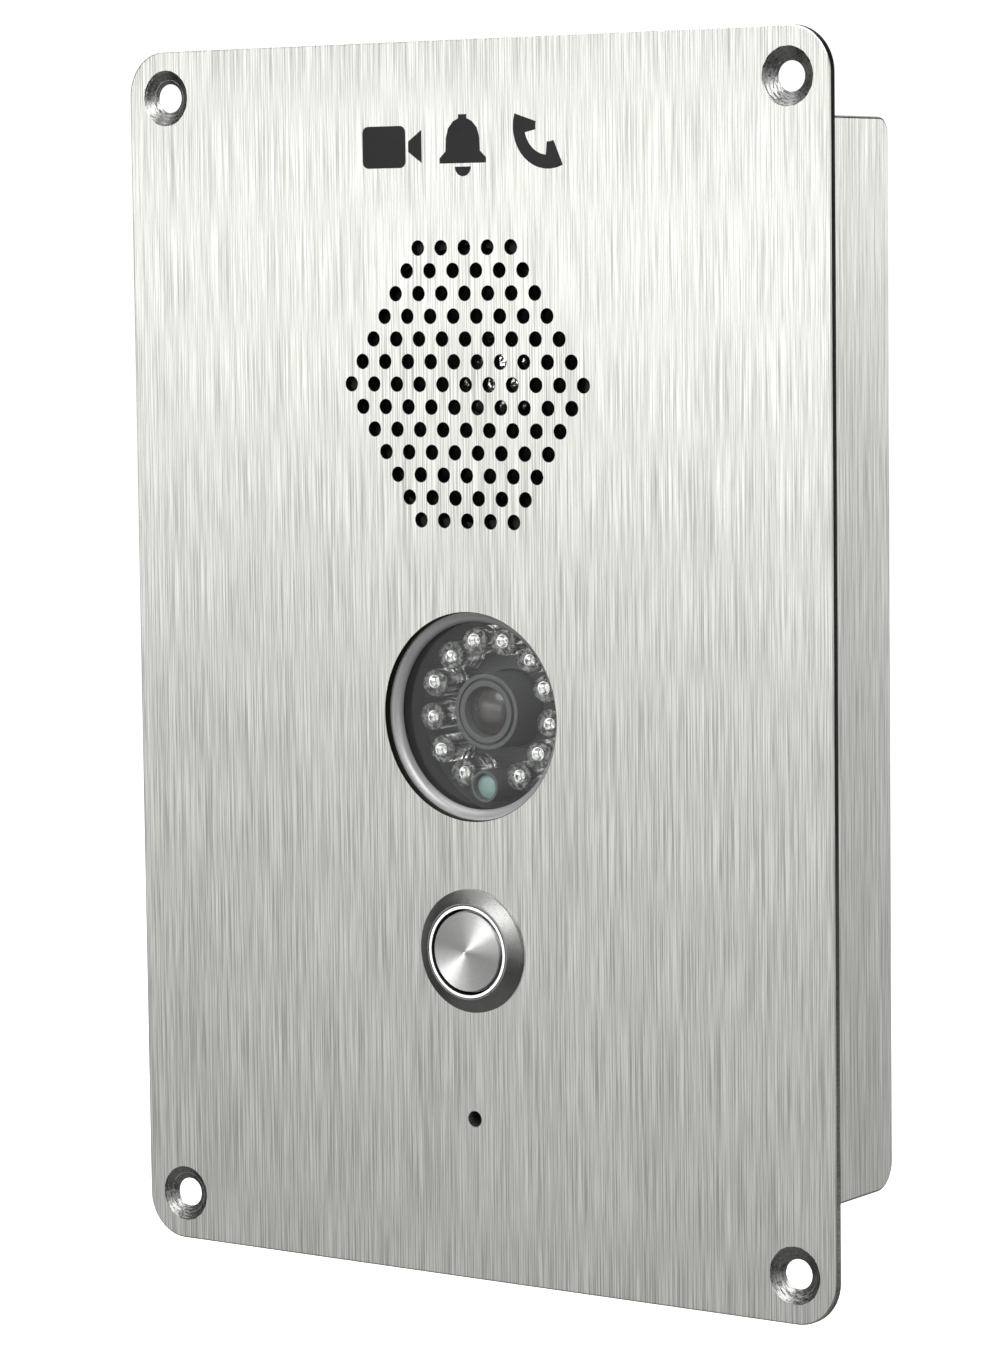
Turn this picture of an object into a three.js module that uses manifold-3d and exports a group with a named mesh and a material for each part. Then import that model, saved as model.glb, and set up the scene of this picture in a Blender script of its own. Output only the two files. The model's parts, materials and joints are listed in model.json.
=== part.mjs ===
// Door intercom panel: a stainless call station with a speaker, a camera, a call button and a microphone.
// Frame, in millimetres: the origin is the centre of the four fixing holes, on the plate's wall-side face.
// +X is to the right of a visitor who faces the panel, +Y goes into the wall, and +Z is up.
import * as THREE from 'three';
import { mergeVertices } from 'three/addons/utils/BufferGeometryUtils.js';
import Module from 'manifold-3d';

const wasm = await Module();
wasm.setup();

// ---------------------------------------------------------------- driving dimensions

const PLATE = { width: 150, height: 220, thick: 1.5, corner: 8 };
const FIXING = { x: 66.6, z: 101.5, radius: 2.6, sinkRadius: 5 };
const GRILLE = { z: 49.7, pitch: 5, rowPitch: 4, rows: 13, longestRow: 11, holeRadius: 1.3, sides: 8 };
const OPENING = { z: -9, radius: 18.5 };
const BUTTON_Z = -50.7;
const MIC = { z: -81, holeRadius: 1.4 };

const BOX = { width: 114, height: 191.5, front: 1, back: 48, wall: 1.2, bend: 3 };
const GASKET_WIDTH = 2;
const BRACKET = { width: 50, thick: 1.4, reach: 15, foot: 14.4, bend: 4, notch: 17 };
const BOX_SCREW = { x: 16, y: 9, radius: 1.5, headRadius: 2.8, headHeight: 1.6, length: 7 };
const GROMMET = { y: 30, holeRadius: 7, flangeRadius: 10, flange: 1.6, membrane: 1 };

const SPEAKER = { radius: 28.5, rim: 25, stud: 33 };
const BASKET = { throat: 9.3, floorRadius: 16, floor: 9.5, sheet: 0.7, shoulder: 3.8, flange: 0.8 };
const SURROUND = { middle: 2.6, thick: 0.4, gap: 0.2 };
const CONE = { edge: 21.2, front: 2.4, back: 7.9, thick: 0.5 };
const DUST_CAP = { apex: 4.2, edge: 6.8, thick: 0.4 };
const COIL = { radius: 8.4, half: 0.2, front: 7.5, back: 13.5 };
const MAGNET = { bore: 10.5, radius: 16, front: 12.4, back: 18.3, gap: 0.1 };
const POLE = { radius: 7.8, washerBore: 9, plateRadius: 15.5, plate: 2 };
const CLAMP = { front: 1.9, back: 3.1, inner: 26, outer: 30.5, ear: 4.5 };

const HOUSING = { radius: 22, seat: 20.3, wall: 19.4, ledge: 17.5, back: 25.5, floor: 1.5, leadHole: 4 };
const EARS = { x: 25, reach: 5, width: 12, thick: 1.5 };
const MODULE_RISE = 0.5;
const WINDOW = { radius: 20, front: 1.55, thick: 1, ringInner: 16.7 };
const LED_BOARD = { radius: 19.2, hole: 7.1, front: 11.4, thick: 1.2 };
const LED = { radius: 2.5, flange: 2.9, tip: 2.8, ring: 12.8, places: 13 };
const LIGHT_SENSOR = { radius: 2.25, tube: 2.9, ring: 13.4, angle: -92, front: 3.6, recess: 0.6 };
const BARREL_FOOT = { radius: 9, front: 16, bore: 3 };
const LENS = { barrel: 6.8, glass: 4.2, front: 3.3, apex: 3.9, edge: 4.8, back: 6.5 };
const LENS_GROOVE = { outer: 6, inner: 5.6, depth: 0.9, step: 0.2 };
const SENSOR_BOARD = { size: 24, front: 20, thick: 1.2, plug: 2.2 };

const BEZEL = { radius: 11.05, inner: 8.35, proud: 1.9, wall: 0.5, lip: 0.35, recess: 0.45 };
const BARREL = { radius: 9.5, back: 18, bore: 7.5, seatBore: 7, seat: 4.2, web: 8, webBack: 9.5 };
const SEAL = { inner: 9.7, outer: 10.6, thick: 0.4 };
const LIGHT_RING = { inner: 7.75, gap: 0.05 };
const CAP = { radius: 7.3, edge: 0.2, thick: 2.5, stem: 3.5, stemEnd: 12 };
const CLIP = { radius: 5.5, front: 9.8, back: 10.4, groove: 0.6, play: 0.05 };
const SPRING = { radius: 5.3, wire: 0.35, turns: 5, gap: 0.1, stepsPerTurn: 9 };
const NUT = { flats: 22, front: 0.4, back: 3.6, washer: 0.8, washerRadius: 13.5 };
const SWITCH = { front: 13, hollow: 4.2, hollowBack: 17, back: 24, step: 0.2, narrower: 0.7 };
const TAG = { ring: 5.5, width: 2.4, thick: 0.8, length: 4.5 };

const BOOT = { radius: 7, hole: 1.2, bore: 4.9, front: 1.5, step: 7, back: 8.5, lip: 0.8 };
const CAPSULE = { radius: 4.8, edge: 0.4, front: 1.7, back: 8.2 };

const MAIN_BOARD = { width: 96, height: 140, z: 8, front: 37.2, thick: 1.6 };
const STANDOFF = { inset: 5, radius: 3, stud: 1.4, studLength: 3 };
const HEADER = { width: 7, height: 5, tall: 3.6 };
const RELAY = { x: [24, 40], z: [35, 54], tall: 15.3 };
const TRANSFORMER = { core: 14, coreTall: 12, winding: 12, windingLength: 18, tall: 14, x: -37, z: -41 };
const TERMINALS = { x: [15, 36.5], z: [-60, -51], tall: 10, first: 18.1, pitch: 5.1, count: 4, screw: 1.6 };
const STUD_RADIUS = 1.5;
const STUD_LENGTH = 5.5;
const LEAD = { radius: 1.2, gap: 0.3, straight: 5, steps: 12 };
const CLEARANCE = 0.05;
const HOLE_GAP = 0.3;

// How many sides stand for a circle, from the plate's openings down to thin wire.
const SIDES = { large: 40, fine: 30, middle: 20, coarse: 16, small: 10, stud: 8, wire: 6 };
const QUARTERS = [45, 135, 225, 315];

// ---------------------------------------------------------------- shape helpers

function solidOf(geometry) {
  const bare = geometry.index ? geometry.toNonIndexed() : geometry.clone();
  bare.deleteAttribute('normal');
  bare.deleteAttribute('uv');
  const merged = mergeVertices(bare, 1e-4);
  return new wasm.Manifold(new wasm.Mesh({
    numProp: 3,
    vertProperties: merged.attributes.position.array,
    triVerts: new Uint32Array(merged.index.array),
  }));
}

function geometryOf(solid) {
  const mesh = solid.getMesh();
  const geometry = new THREE.BufferGeometry();
  geometry.setAttribute('position', new THREE.BufferAttribute(mesh.vertProperties, 3));
  geometry.setIndex(new THREE.BufferAttribute(mesh.triVerts, 1));
  geometry.computeVertexNormals();
  return geometry;
}

function join(...geometries) {
  return geometryOf(geometries.map(solidOf).reduce((whole, piece) => whole.add(piece)));
}

function cut(body, ...tools) {
  return geometryOf(tools.map(solidOf).reduce((left, tool) => left.subtract(tool), solidOf(body)));
}

function polar(radius, angle, x = 0, y = 0) {
  const turn = THREE.MathUtils.degToRad(angle);
  return new THREE.Vector2(x + radius * Math.cos(turn), y + radius * Math.sin(turn));
}

// The points of an arc in the plane of a shape, its angles in degrees.
function arc(x, y, radius, from, to, steps) {
  return Array.from({ length: steps + 1 }, (_, i) => polar(radius, from + ((to - from) * i) / steps, x, y));
}

function circle(radius, sides, x = 0, y = 0) {
  return arc(x, y, radius, 0, 360, sides).slice(0, sides);
}

function roundedRectangle(width, height, radius, steps, x = 0, y = 0) {
  const dx = width / 2 - radius;
  const dy = height / 2 - radius;
  return [
    ...arc(x + dx, y + dy, radius, 0, 90, steps),
    ...arc(x - dx, y + dy, radius, 90, 180, steps),
    ...arc(x - dx, y - dy, radius, 180, 270, steps),
    ...arc(x + dx, y - dy, radius, 270, 360, steps),
  ];
}

// An X-Z outline with holes, as a slab between two depths.
function slab(outline, front, back, holes = []) {
  const shape = new THREE.Shape(outline);
  shape.holes = holes.map((points) => new THREE.Path(points));
  const geometry = new THREE.ExtrudeGeometry(shape, { depth: back - front, bevelEnabled: false });
  return geometry.rotateX(Math.PI / 2).translate(0, back, 0);
}

// A Y-Z outline run along X, centred on X = 0.
function channel(outline, width) {
  const geometry = new THREE.ExtrudeGeometry(new THREE.Shape(outline), { depth: width, bevelEnabled: false });
  const along = new THREE.Vector3(1, 0, 0);
  const turn = new THREE.Matrix4().makeBasis(new THREE.Vector3(0, 1, 0), new THREE.Vector3(0, 0, 1), along);
  return geometry.applyMatrix4(turn).translate(-width / 2, 0, 0);
}

// A profile of [radius, depth] points turned about the Y axis. Off the axis it closes on itself.
function turned(profile, sides) {
  const points = profile.map(([radius, depth]) => new THREE.Vector2(radius, depth));
  const next = (i) => points[(i + 1) % points.length];
  const area = points.reduce((sum, point, i) => sum + point.x * next(i).y - next(i).x * point.y, 0);
  if (area < 0) points.reverse();
  const onAxis = points[0].x === 0 && points[points.length - 1].x === 0;
  if (!onAxis) points.push(points[0].clone());
  return new THREE.LatheGeometry(points, sides);
}

function rod(radius, front, back, sides) {
  return turned([[0, front], [radius, front], [radius, back], [0, back]], sides);
}

function tube(inner, outer, front, back, sides) {
  return turned([[inner, front], [outer, front], [outer, back], [inner, back]], sides);
}

function block([x0, x1], [y0, y1], [z0, z1]) {
  const geometry = new THREE.BoxGeometry(x1 - x0, y1 - y0, z1 - z0);
  return geometry.translate((x0 + x1) / 2, (y0 + y1) / 2, (z0 + z1) / 2);
}

function spread(middle, size) {
  return [middle - size / 2, middle + size / 2];
}

// A block that stands on the main board and faces the plate, given by the middle of its base.
function onBoard(x, z, width, height, tall) {
  const { front, thick } = MAIN_BOARD;
  return block(spread(x, width), [front - tall, front + thick / 2], spread(z, height));
}

// A round wire or lead along a curve.
function wireAlong(curve, radius, sides, steps) {
  const section = new THREE.Shape(circle(radius, sides));
  return new THREE.ExtrudeGeometry(section, { steps, extrudePath: curve, bevelEnabled: false });
}

class Helix extends THREE.Curve {
  constructor(radius, front, back, turns) {
    super();
    Object.assign(this, { radius, front, back, turns });
  }

  getPoint(t, target = new THREE.Vector3()) {
    const angle = 2 * Math.PI * this.turns * t;
    const depth = THREE.MathUtils.lerp(this.front, this.back, t);
    return target.set(this.radius * Math.cos(angle), depth, this.radius * Math.sin(angle));
  }
}

// ---------------------------------------------------------------- materials

const FINISHES = {
  brushedSteel: { color: 0xc9c9c4, roughness: 0.35, metalness: 1 },
  satinSteel: { color: 0x9c9c9a, roughness: 0.3, metalness: 1 },
  zincSteel: { color: 0xb4b8ba, roughness: 0.4, metalness: 1 },
  blackRubber: { color: 0x151515, roughness: 0.85, metalness: 0 },
  greySilicone: { color: 0x8f9190, roughness: 0.45, metalness: 0 },
  clearPlastic: { color: 0xf2f5f5, roughness: 0.05, metalness: 0, transparent: true, opacity: 0.3 },
  blackPlastic: { color: 0x1c1d1e, roughness: 0.6, metalness: 0 },
  greyPlastic: { color: 0x55585a, roughness: 0.5, metalness: 0 },
  whiteDiffuser: { color: 0xf4f5f2, roughness: 0.4, metalness: 0 },
  darkBoard: { color: 0x2b2d2e, roughness: 0.5, metalness: 0 },
  greenBoard: { color: 0x1f6b3a, roughness: 0.45, metalness: 0 },
  sensorFace: { color: 0x8fb5ae, roughness: 0.3, metalness: 0 },
  lensGlass: { color: 0x14161c, roughness: 0.05, metalness: 0 },
  blackPaper: { color: 0x202020, roughness: 0.9, metalness: 0 },
  polishedCap: { color: 0xd8d8d8, roughness: 0.15, metalness: 1 },
  ferrite: { color: 0x333333, roughness: 0.7, metalness: 0 },
  copper: { color: 0xb06a3c, roughness: 0.4, metalness: 1 },
  bluePlastic: { color: 0x2457a8, roughness: 0.45, metalness: 0 },
  greenPlastic: { color: 0x2f8a4a, roughness: 0.45, metalness: 0 },
};

function piece(name, finish, geometry) {
  const mesh = new THREE.Mesh(geometry, new THREE.MeshStandardMaterial(FINISHES[finish]));
  mesh.name = name;
  return mesh;
}

// ---------------------------------------------------------------- plate and box

const studPlaces = [
  ...QUARTERS.map((angle) => polar(SPEAKER.stud, angle, 0, GRILLE.z)),
  new THREE.Vector2(EARS.x, OPENING.z),
  new THREE.Vector2(-EARS.x, OPENING.z),
];

function grilleHoles() {
  const holes = [];
  const middle = (GRILLE.rows - 1) / 2;
  for (let row = 0; row < GRILLE.rows; row += 1) {
    const count = GRILLE.longestRow - Math.abs(row - middle);
    const z = GRILLE.z + (middle - row) * GRILLE.rowPitch;
    for (let k = 0; k < count; k += 1) {
      const x = (k - (count - 1) / 2) * GRILLE.pitch;
      holes.push(circle(GRILLE.holeRadius, GRILLE.sides, x, z));
    }
  }
  return holes;
}

// A cone as steep as a drill point, from the countersink's mouth down to the straight hole.
function countersink(x, z) {
  const slope = Math.tan(THREE.MathUtils.degToRad(59));
  const depth = (FIXING.sinkRadius - FIXING.radius) / slope;
  const over = 0.5;
  const mouth = -PLATE.thick;
  return turned([
    [0, mouth - over],
    [FIXING.sinkRadius + over * slope, mouth - over],
    [FIXING.radius, mouth + depth],
    [FIXING.radius, over],
    [0, over],
  ], SIDES.middle).translate(x, 0, z);
}

function frontPlate() {
  const sheet = slab(roundedRectangle(PLATE.width, PLATE.height, PLATE.corner, 5), -PLATE.thick, 0, [
    ...grilleHoles(),
    circle(OPENING.radius, SIDES.large, 0, OPENING.z),
    circle(BARREL.radius + 0.2, SIDES.fine, 0, BUTTON_Z),
    circle(MIC.holeRadius, SIDES.small, 0, MIC.z),
  ]);
  const studs = studPlaces.map(({ x, y: z }) => (
    rod(STUD_RADIUS, -PLATE.thick / 2, STUD_LENGTH, SIDES.stud).translate(x, 0, z)
  ));
  const sinks = [-1, 1].flatMap((sx) => [-1, 1].map((sz) => countersink(sx * FIXING.x, sz * FIXING.z)));
  return cut(join(sheet, ...studs), ...sinks);
}

// The Y-Z section of the box, drawn in from its outside by the given amount.
function boxSection(inset, front) {
  const back = BOX.back - inset;
  const top = BOX.height / 2 - inset;
  const bend = BOX.bend - inset;
  return [
    new THREE.Vector2(front, -top),
    ...arc(back - bend, bend - top, bend, -90, 0, 4),
    ...arc(back - bend, top - bend, bend, 0, 90, 4),
    new THREE.Vector2(front, top),
  ];
}

const standoffPlaces = [-1, 1].flatMap((sx) => [-1, 1].map((sz) => ({
  x: sx * (MAIN_BOARD.width / 2 - STANDOFF.inset),
  z: MAIN_BOARD.z + sz * (MAIN_BOARD.height / 2 - STANDOFF.inset),
})));

function backBox() {
  const shell = cut(
    channel(boxSection(0, BOX.front), BOX.width),
    channel(boxSection(BOX.wall, BOX.front - 1), BOX.width - 2 * BOX.wall),
  );
  const pillars = standoffPlaces.map(({ x, z }) => join(
    rod(STANDOFF.radius, MAIN_BOARD.front + MAIN_BOARD.thick, BOX.back - BOX.wall / 2, SIDES.wire),
    rod(STANDOFF.stud, MAIN_BOARD.front - STANDOFF.studLength, BOX.back - BOX.wall, SIDES.stud),
  ).translate(x, 0, z));
  const wallHole = (radius, x, y, z) => (
    rod(radius, -2 * BOX.wall, 2 * BOX.wall, SIDES.coarse).rotateX(Math.PI / 2).translate(x, y, z)
  );
  const wallMiddle = (BOX.height - BOX.wall) / 2;
  const screwHoles = [-1, 1].flatMap((sx) => [-1, 1].map((sz) => (
    wallHole(BOX_SCREW.radius + 0.25, sx * BOX_SCREW.x, BOX_SCREW.y, sz * wallMiddle)
  )));
  const cableHole = wallHole(GROMMET.holeRadius, 0, GROMMET.y, -wallMiddle);
  return cut(join(shell, ...pillars), ...screwHoles, cableHole);
}

function panelGasket() {
  const inner = roundedRectangle(BOX.width - 2 * GASKET_WIDTH, BOX.height - 2 * GASKET_WIDTH, 1, 2);
  return slab(roundedRectangle(BOX.width, BOX.height, 1, 2), 0, BOX.front, [inner]);
}

// An angle bracket: its foot lies on the plate and its arm runs back along the box's top wall.
// A notch parts the foot in two, which leaves room for the microphone at the bottom of the panel.
function angleBracket() {
  const top = BOX.height / 2 - BOX.wall - 2 * CLEARANCE;
  const centre = top - BRACKET.bend;
  const section = [
    new THREE.Vector2(0, top - BRACKET.foot),
    ...arc(BRACKET.bend, centre, BRACKET.bend, 180, 90, 3),
    new THREE.Vector2(BRACKET.reach, top),
    new THREE.Vector2(BRACKET.reach, top - BRACKET.thick),
    ...arc(BRACKET.bend, centre, BRACKET.bend - BRACKET.thick, 90, 180, 3),
    new THREE.Vector2(BRACKET.thick, top - BRACKET.foot),
  ];
  const bore = rod(BOX_SCREW.radius + 0.2, -3, 3, SIDES.small).rotateX(Math.PI / 2);
  const hole = (x) => bore.clone().translate(x, BOX_SCREW.y, top);
  const footEnd = top - BRACKET.foot;
  const half = BRACKET.notch / 2;
  const notch = block([-half, half], [-1, BRACKET.thick + 1], [footEnd - 1, centre - 1.5]);
  return cut(channel(section, BRACKET.width), hole(-BOX_SCREW.x), hole(BOX_SCREW.x), notch);
}

// A pan-head screw along +Y, its head's underside at the origin, with a hexagonal socket.
function boxScrew() {
  const { radius, headRadius, headHeight, length } = BOX_SCREW;
  const body = turned([
    [0, -headHeight],
    [headRadius * 0.7, -headHeight],
    [headRadius, -headHeight * 0.45],
    [headRadius, 0],
    [radius, 0],
    [radius, length],
    [0, length],
  ], SIDES.small);
  return cut(body, rod(1.1, -headHeight - 0.5, -headHeight * 0.4, 6));
}

// A grommet along +Y: two flanges that grip the box's wall, closed by a thin membrane a cable pierces.
function cableGrommet() {
  const neck = GROMMET.holeRadius - 0.1;
  return turned([
    [0, -GROMMET.membrane],
    [neck - 2, -GROMMET.membrane],
    [neck - 2, -GROMMET.flange],
    [GROMMET.flangeRadius - 0.6, -GROMMET.flange],
    [GROMMET.flangeRadius, -CLEARANCE],
    [neck, -CLEARANCE],
    [neck, BOX.wall + CLEARANCE],
    [GROMMET.flangeRadius - 1, BOX.wall + CLEARANCE],
    [neck - 0.5, BOX.wall + 2.2],
    [neck - 2, BOX.wall + 2.2],
    [neck - 2, 0],
    [0, 0],
  ], SIDES.coarse);
}

function enclosure() {
  const group = new THREE.Group();
  group.add(piece('front_plate', 'brushedSteel', frontPlate()));
  group.add(piece('back_box', 'brushedSteel', backBox()));
  group.add(piece('panel_gasket', 'blackRubber', panelGasket()));

  const topBracket = piece('bracket_top', 'zincSteel', angleBracket());
  const bottomBracket = piece('bracket_bottom', 'zincSteel', angleBracket());
  bottomBracket.rotation.y = Math.PI;
  group.add(topBracket, bottomBracket);

  const outside = BOX.height / 2 + CLEARANCE;
  let number = 1;
  for (const side of [1, -1]) {
    for (const x of [-BOX_SCREW.x, BOX_SCREW.x]) {
      const screw = piece(`box_screw_${number}`, 'satinSteel', boxScrew());
      screw.position.set(x, BOX_SCREW.y, side * outside);
      screw.rotation.x = (-side * Math.PI) / 2;
      group.add(screw);
      number += 1;
    }
  }

  const grommet = piece('cable_grommet', 'blackRubber', cableGrommet());
  grommet.position.set(0, GROMMET.y, -BOX.height / 2);
  grommet.rotation.x = Math.PI / 2;
  group.add(grommet);
  return group;
}

// ---------------------------------------------------------------- speaker

function clampRing() {
  const { front, back, inner, outer, ear } = CLAMP;
  const places = QUARTERS.map((angle) => polar(SPEAKER.stud, angle));
  const ears = places.map(({ x, y: z }) => slab(circle(ear, SIDES.stud, x, z), front, back));
  const holes = places.map(({ x, y: z }) => (
    rod(STUD_RADIUS + HOLE_GAP, 0, back + 1, SIDES.stud).translate(x, 0, z)
  ));
  return cut(join(tube(inner, outer, front, back, SIDES.middle), ...ears), ...holes);
}

function basket() {
  const { radius, rim } = SPEAKER;
  const { throat, floorRadius, floor, sheet, shoulder, flange } = BASKET;
  return turned([
    [throat, floor],
    [floorRadius, floor],
    [rim - 0.2, shoulder],
    [rim, BOX.front],
    [radius, BOX.front],
    [radius, BOX.front + flange],
    [rim + sheet + 0.1, BOX.front + flange],
    [rim + sheet - 0.1, shoulder + 0.4],
    [floorRadius + 0.4, floor + sheet],
    [throat, floor + sheet],
  ], SIDES.middle);
}

// Half a roll of rubber that joins the cone's edge to the basket's rim.
function surround() {
  const { middle, thick, gap } = SURROUND;
  const roll = (SPEAKER.rim + CONE.edge) / 2;
  const outer = (SPEAKER.rim - CONE.edge) / 2 - gap;
  return turned([
    ...arc(roll, middle, outer, 180, 360, 4).map(({ x, y }) => [x, y]),
    ...arc(roll, middle, outer - thick, 360, 180, 4).map(({ x, y }) => [x, y]),
  ], SIDES.middle);
}

function cone() {
  const neck = COIL.radius + COIL.half + 0.1;
  return turned([
    [CONE.edge, CONE.front],
    [CONE.edge, CONE.front + CONE.thick],
    [neck, CONE.back],
    [neck, CONE.back - CONE.thick - 0.1],
  ], SIDES.middle);
}

// A shallow dome, drawn from its middle out along the front and back along the rear.
function dustCap() {
  const { apex, edge, thick } = DUST_CAP;
  const radius = COIL.radius - 0.1;
  const front = [[0, 0], [0.41, 0.15], [0.77, 0.54], [1, 1]].map(([share, fall]) => (
    [share * radius, apex + fall * (edge - apex)]
  ));
  const rear = front.map(([r, depth]) => [r, depth + thick]).reverse();
  return turned([...front, ...rear], SIDES.coarse);
}

function speaker() {
  const group = new THREE.Group();
  group.position.z = GRILLE.z;
  const { radius, half, front, back } = COIL;
  const { gap } = MAGNET;
  group.add(piece('speaker_gasket', 'blackRubber', tube(
    SPEAKER.rim - 0.5, SPEAKER.radius, 0, BOX.front, SIDES.middle,
  )));
  group.add(piece('speaker_frame', 'zincSteel', basket()));
  group.add(piece('speaker_surround', 'blackRubber', surround()));
  group.add(piece('speaker_cone', 'blackPaper', cone()));
  group.add(piece('speaker_dust_cap', 'polishedCap', dustCap()));
  group.add(piece('voice_coil', 'copper', tube(radius - half, radius + half, front, back, SIDES.coarse)));
  const washerFront = BASKET.floor + BASKET.sheet + gap;
  group.add(piece('speaker_pole_washer', 'zincSteel', tube(
    POLE.washerBore, POLE.plateRadius, washerFront, MAGNET.front - gap, SIDES.coarse,
  )));
  group.add(piece('speaker_magnet', 'ferrite', tube(
    MAGNET.bore, MAGNET.radius, MAGNET.front, MAGNET.back, SIDES.coarse,
  )));
  group.add(piece('speaker_yoke', 'zincSteel', turned([
    [0, washerFront + 0.7],
    [POLE.radius, washerFront + 0.7],
    [POLE.radius, MAGNET.back + gap],
    [POLE.plateRadius, MAGNET.back + gap],
    [POLE.plateRadius, MAGNET.back + gap + POLE.plate],
    [0, MAGNET.back + gap + POLE.plate],
  ], SIDES.coarse)));
  group.add(piece('speaker_clamp_ring', 'zincSteel', clampRing()));
  return group;
}

// ---------------------------------------------------------------- camera

// The bead around the window: a quarter round from the plate's opening in to the clear window.
function windowRing() {
  const { ringInner, front } = WINDOW;
  const steps = 3;
  const bead = Array.from({ length: steps + 1 }, (_, i) => {
    const angle = (Math.PI / 2) * (i / steps);
    const radius = OPENING.radius - (OPENING.radius - ringInner) * Math.cos(angle);
    return [radius, front * (1 - Math.sin(angle))];
  });
  const rear = [[HOUSING.radius, 0], [HOUSING.radius, front], [ringInner + 0.6, front]];
  return turned([...bead, ...rear], SIDES.large);
}

function cameraHousing() {
  const { radius, seat, wall, ledge, back, leadHole } = HOUSING;
  const { front } = WINDOW;
  const floor = back - HOUSING.floor;
  const boardBack = LED_BOARD.front + LED_BOARD.thick + CLEARANCE;
  const windowBack = front + WINDOW.thick + CLEARANCE;
  const cup = turned([
    [seat, front],
    [radius, front],
    [radius, back],
    [leadHole, back],
    [leadHole, floor],
    [ledge, floor],
    [ledge, boardBack],
    [wall, boardBack],
    [wall, windowBack],
    [seat, windowBack],
  ], SIDES.fine);
  const outline = roundedRectangle(2 * (EARS.x + EARS.reach), EARS.width, EARS.reach, 3);
  const strap = slab(outline, front, front + EARS.thick);
  const bore = rod(seat, front - 1, front + 3, SIDES.fine);
  const holes = [-EARS.x, EARS.x].map((x) => (
    rod(STUD_RADIUS + HOLE_GAP, 0, front + 3, SIDES.stud).translate(x, 0, 0)
  ));
  return join(cup, cut(strap, bore, ...holes));
}

function infraredLed() {
  const { radius, flange, tip } = LED;
  const base = LED_BOARD.front - CLEARANCE;
  const dome = arc(0, tip + radius, radius, -90, 0, 2).map(({ x, y }) => [x, y]);
  dome[0][0] = 0;
  return turned([...dome, [radius, base - 1], [flange, base - 1], [flange, base], [0, base]], SIDES.small);
}

function lensBarrel() {
  const { barrel, glass, front, edge, back } = LENS;
  const { outer, inner, depth, step } = LENS_GROOVE;
  const end = SENSOR_BOARD.front - 2 * CLEARANCE;
  return turned([
    [glass + 0.4, front],
    [inner, front],
    [inner, front + depth],
    [outer, front + depth],
    [outer, front + step],
    [barrel, front + step],
    [barrel, BARREL_FOOT.front],
    [BARREL_FOOT.radius, BARREL_FOOT.front],
    [BARREL_FOOT.radius, end],
    [BARREL_FOOT.bore, end],
    [BARREL_FOOT.bore, back + 0.1],
    [glass + 0.1, back + 0.1],
    [glass + 0.1, edge - 0.2],
  ], SIDES.middle);
}

function lensGlass() {
  const { glass, apex, edge, back } = LENS;
  return turned([[0, apex], [glass / 2, apex + 0.2], [glass, edge], [glass, back], [0, back]], SIDES.middle);
}

function imageSensorBoard() {
  const half = SENSOR_BOARD.size / 2;
  const { front, thick, plug } = SENSOR_BOARD;
  return join(
    block([-half, half], [front, front + thick], [-half, half]),
    block([-4, 4], [front, front + plug], [1 - half, 6 - half]),
  );
}

function camera() {
  const group = new THREE.Group();
  group.position.z = OPENING.z;
  group.add(piece('window_ring', 'greySilicone', windowRing()));
  const { front: windowFront, thick: windowThick } = WINDOW;
  group.add(piece('camera_window', 'clearPlastic', rod(
    WINDOW.radius, windowFront, windowFront + windowThick, SIDES.fine,
  )));
  group.add(piece('camera_housing', 'blackPlastic', cameraHousing()));
  group.add(piece('led_board', 'darkBoard', cut(
    rod(LED_BOARD.radius, LED_BOARD.front, LED_BOARD.front + LED_BOARD.thick, SIDES.fine),
    rod(LED_BOARD.hole, 0, LED_BOARD.front + 5, SIDES.middle).translate(0, 0, MODULE_RISE),
  )));

  const module = new THREE.Group();
  module.position.z = MODULE_RISE;
  group.add(module);

  // The light sensor takes the bottom place of the ring, and the diodes take the others.
  for (let place = 1; place < LED.places; place += 1) {
    const at = polar(LED.ring, -90 - (360 / LED.places) * place);
    const led = piece(`ir_led_${String(place).padStart(2, '0')}`, 'clearPlastic', infraredLed());
    led.position.set(at.x, 0, at.y);
    module.add(led);
  }

  const { radius, tube: sleeveRadius, front, recess, ring, angle } = LIGHT_SENSOR;
  const eye = polar(ring, angle);
  const back = LED_BOARD.front - CLEARANCE;
  const sleeve = tube(radius + 0.1, sleeveRadius, front, back, SIDES.coarse);
  for (const part of [
    piece('light_sensor', 'sensorFace', rod(radius, front + recess, back, SIDES.coarse)),
    piece('light_sensor_tube', 'blackRubber', sleeve),
  ]) {
    part.position.set(eye.x, 0, eye.y);
    module.add(part);
  }

  module.add(piece('lens_barrel', 'greyPlastic', lensBarrel()));
  module.add(piece('lens_glass', 'lensGlass', lensGlass()));
  module.add(piece('image_sensor_board', 'greenBoard', imageSensorBoard()));
  return group;
}

// ---------------------------------------------------------------- call button

const buttonTop = -PLATE.thick - BEZEL.proud;

function buttonBody() {
  const face = -PLATE.thick;
  const { radius, inner, wall, lip, recess } = BEZEL;
  const { bore, seatBore, seat, web, webBack, back } = BARREL;
  const stemBore = CAP.stem + HOLE_GAP;
  return turned([
    [inner, buttonTop],
    [radius, face - wall],
    [radius, face],
    [radius - lip, face],
    [radius - lip, face - recess],
    [BARREL.radius, face - recess],
    [BARREL.radius, back],
    [bore, back],
    [bore, webBack],
    [stemBore, webBack],
    [stemBore, web],
    [seatBore, web],
    [seatBore, seat],
    [inner, seat],
  ], SIDES.fine);
}

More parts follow.
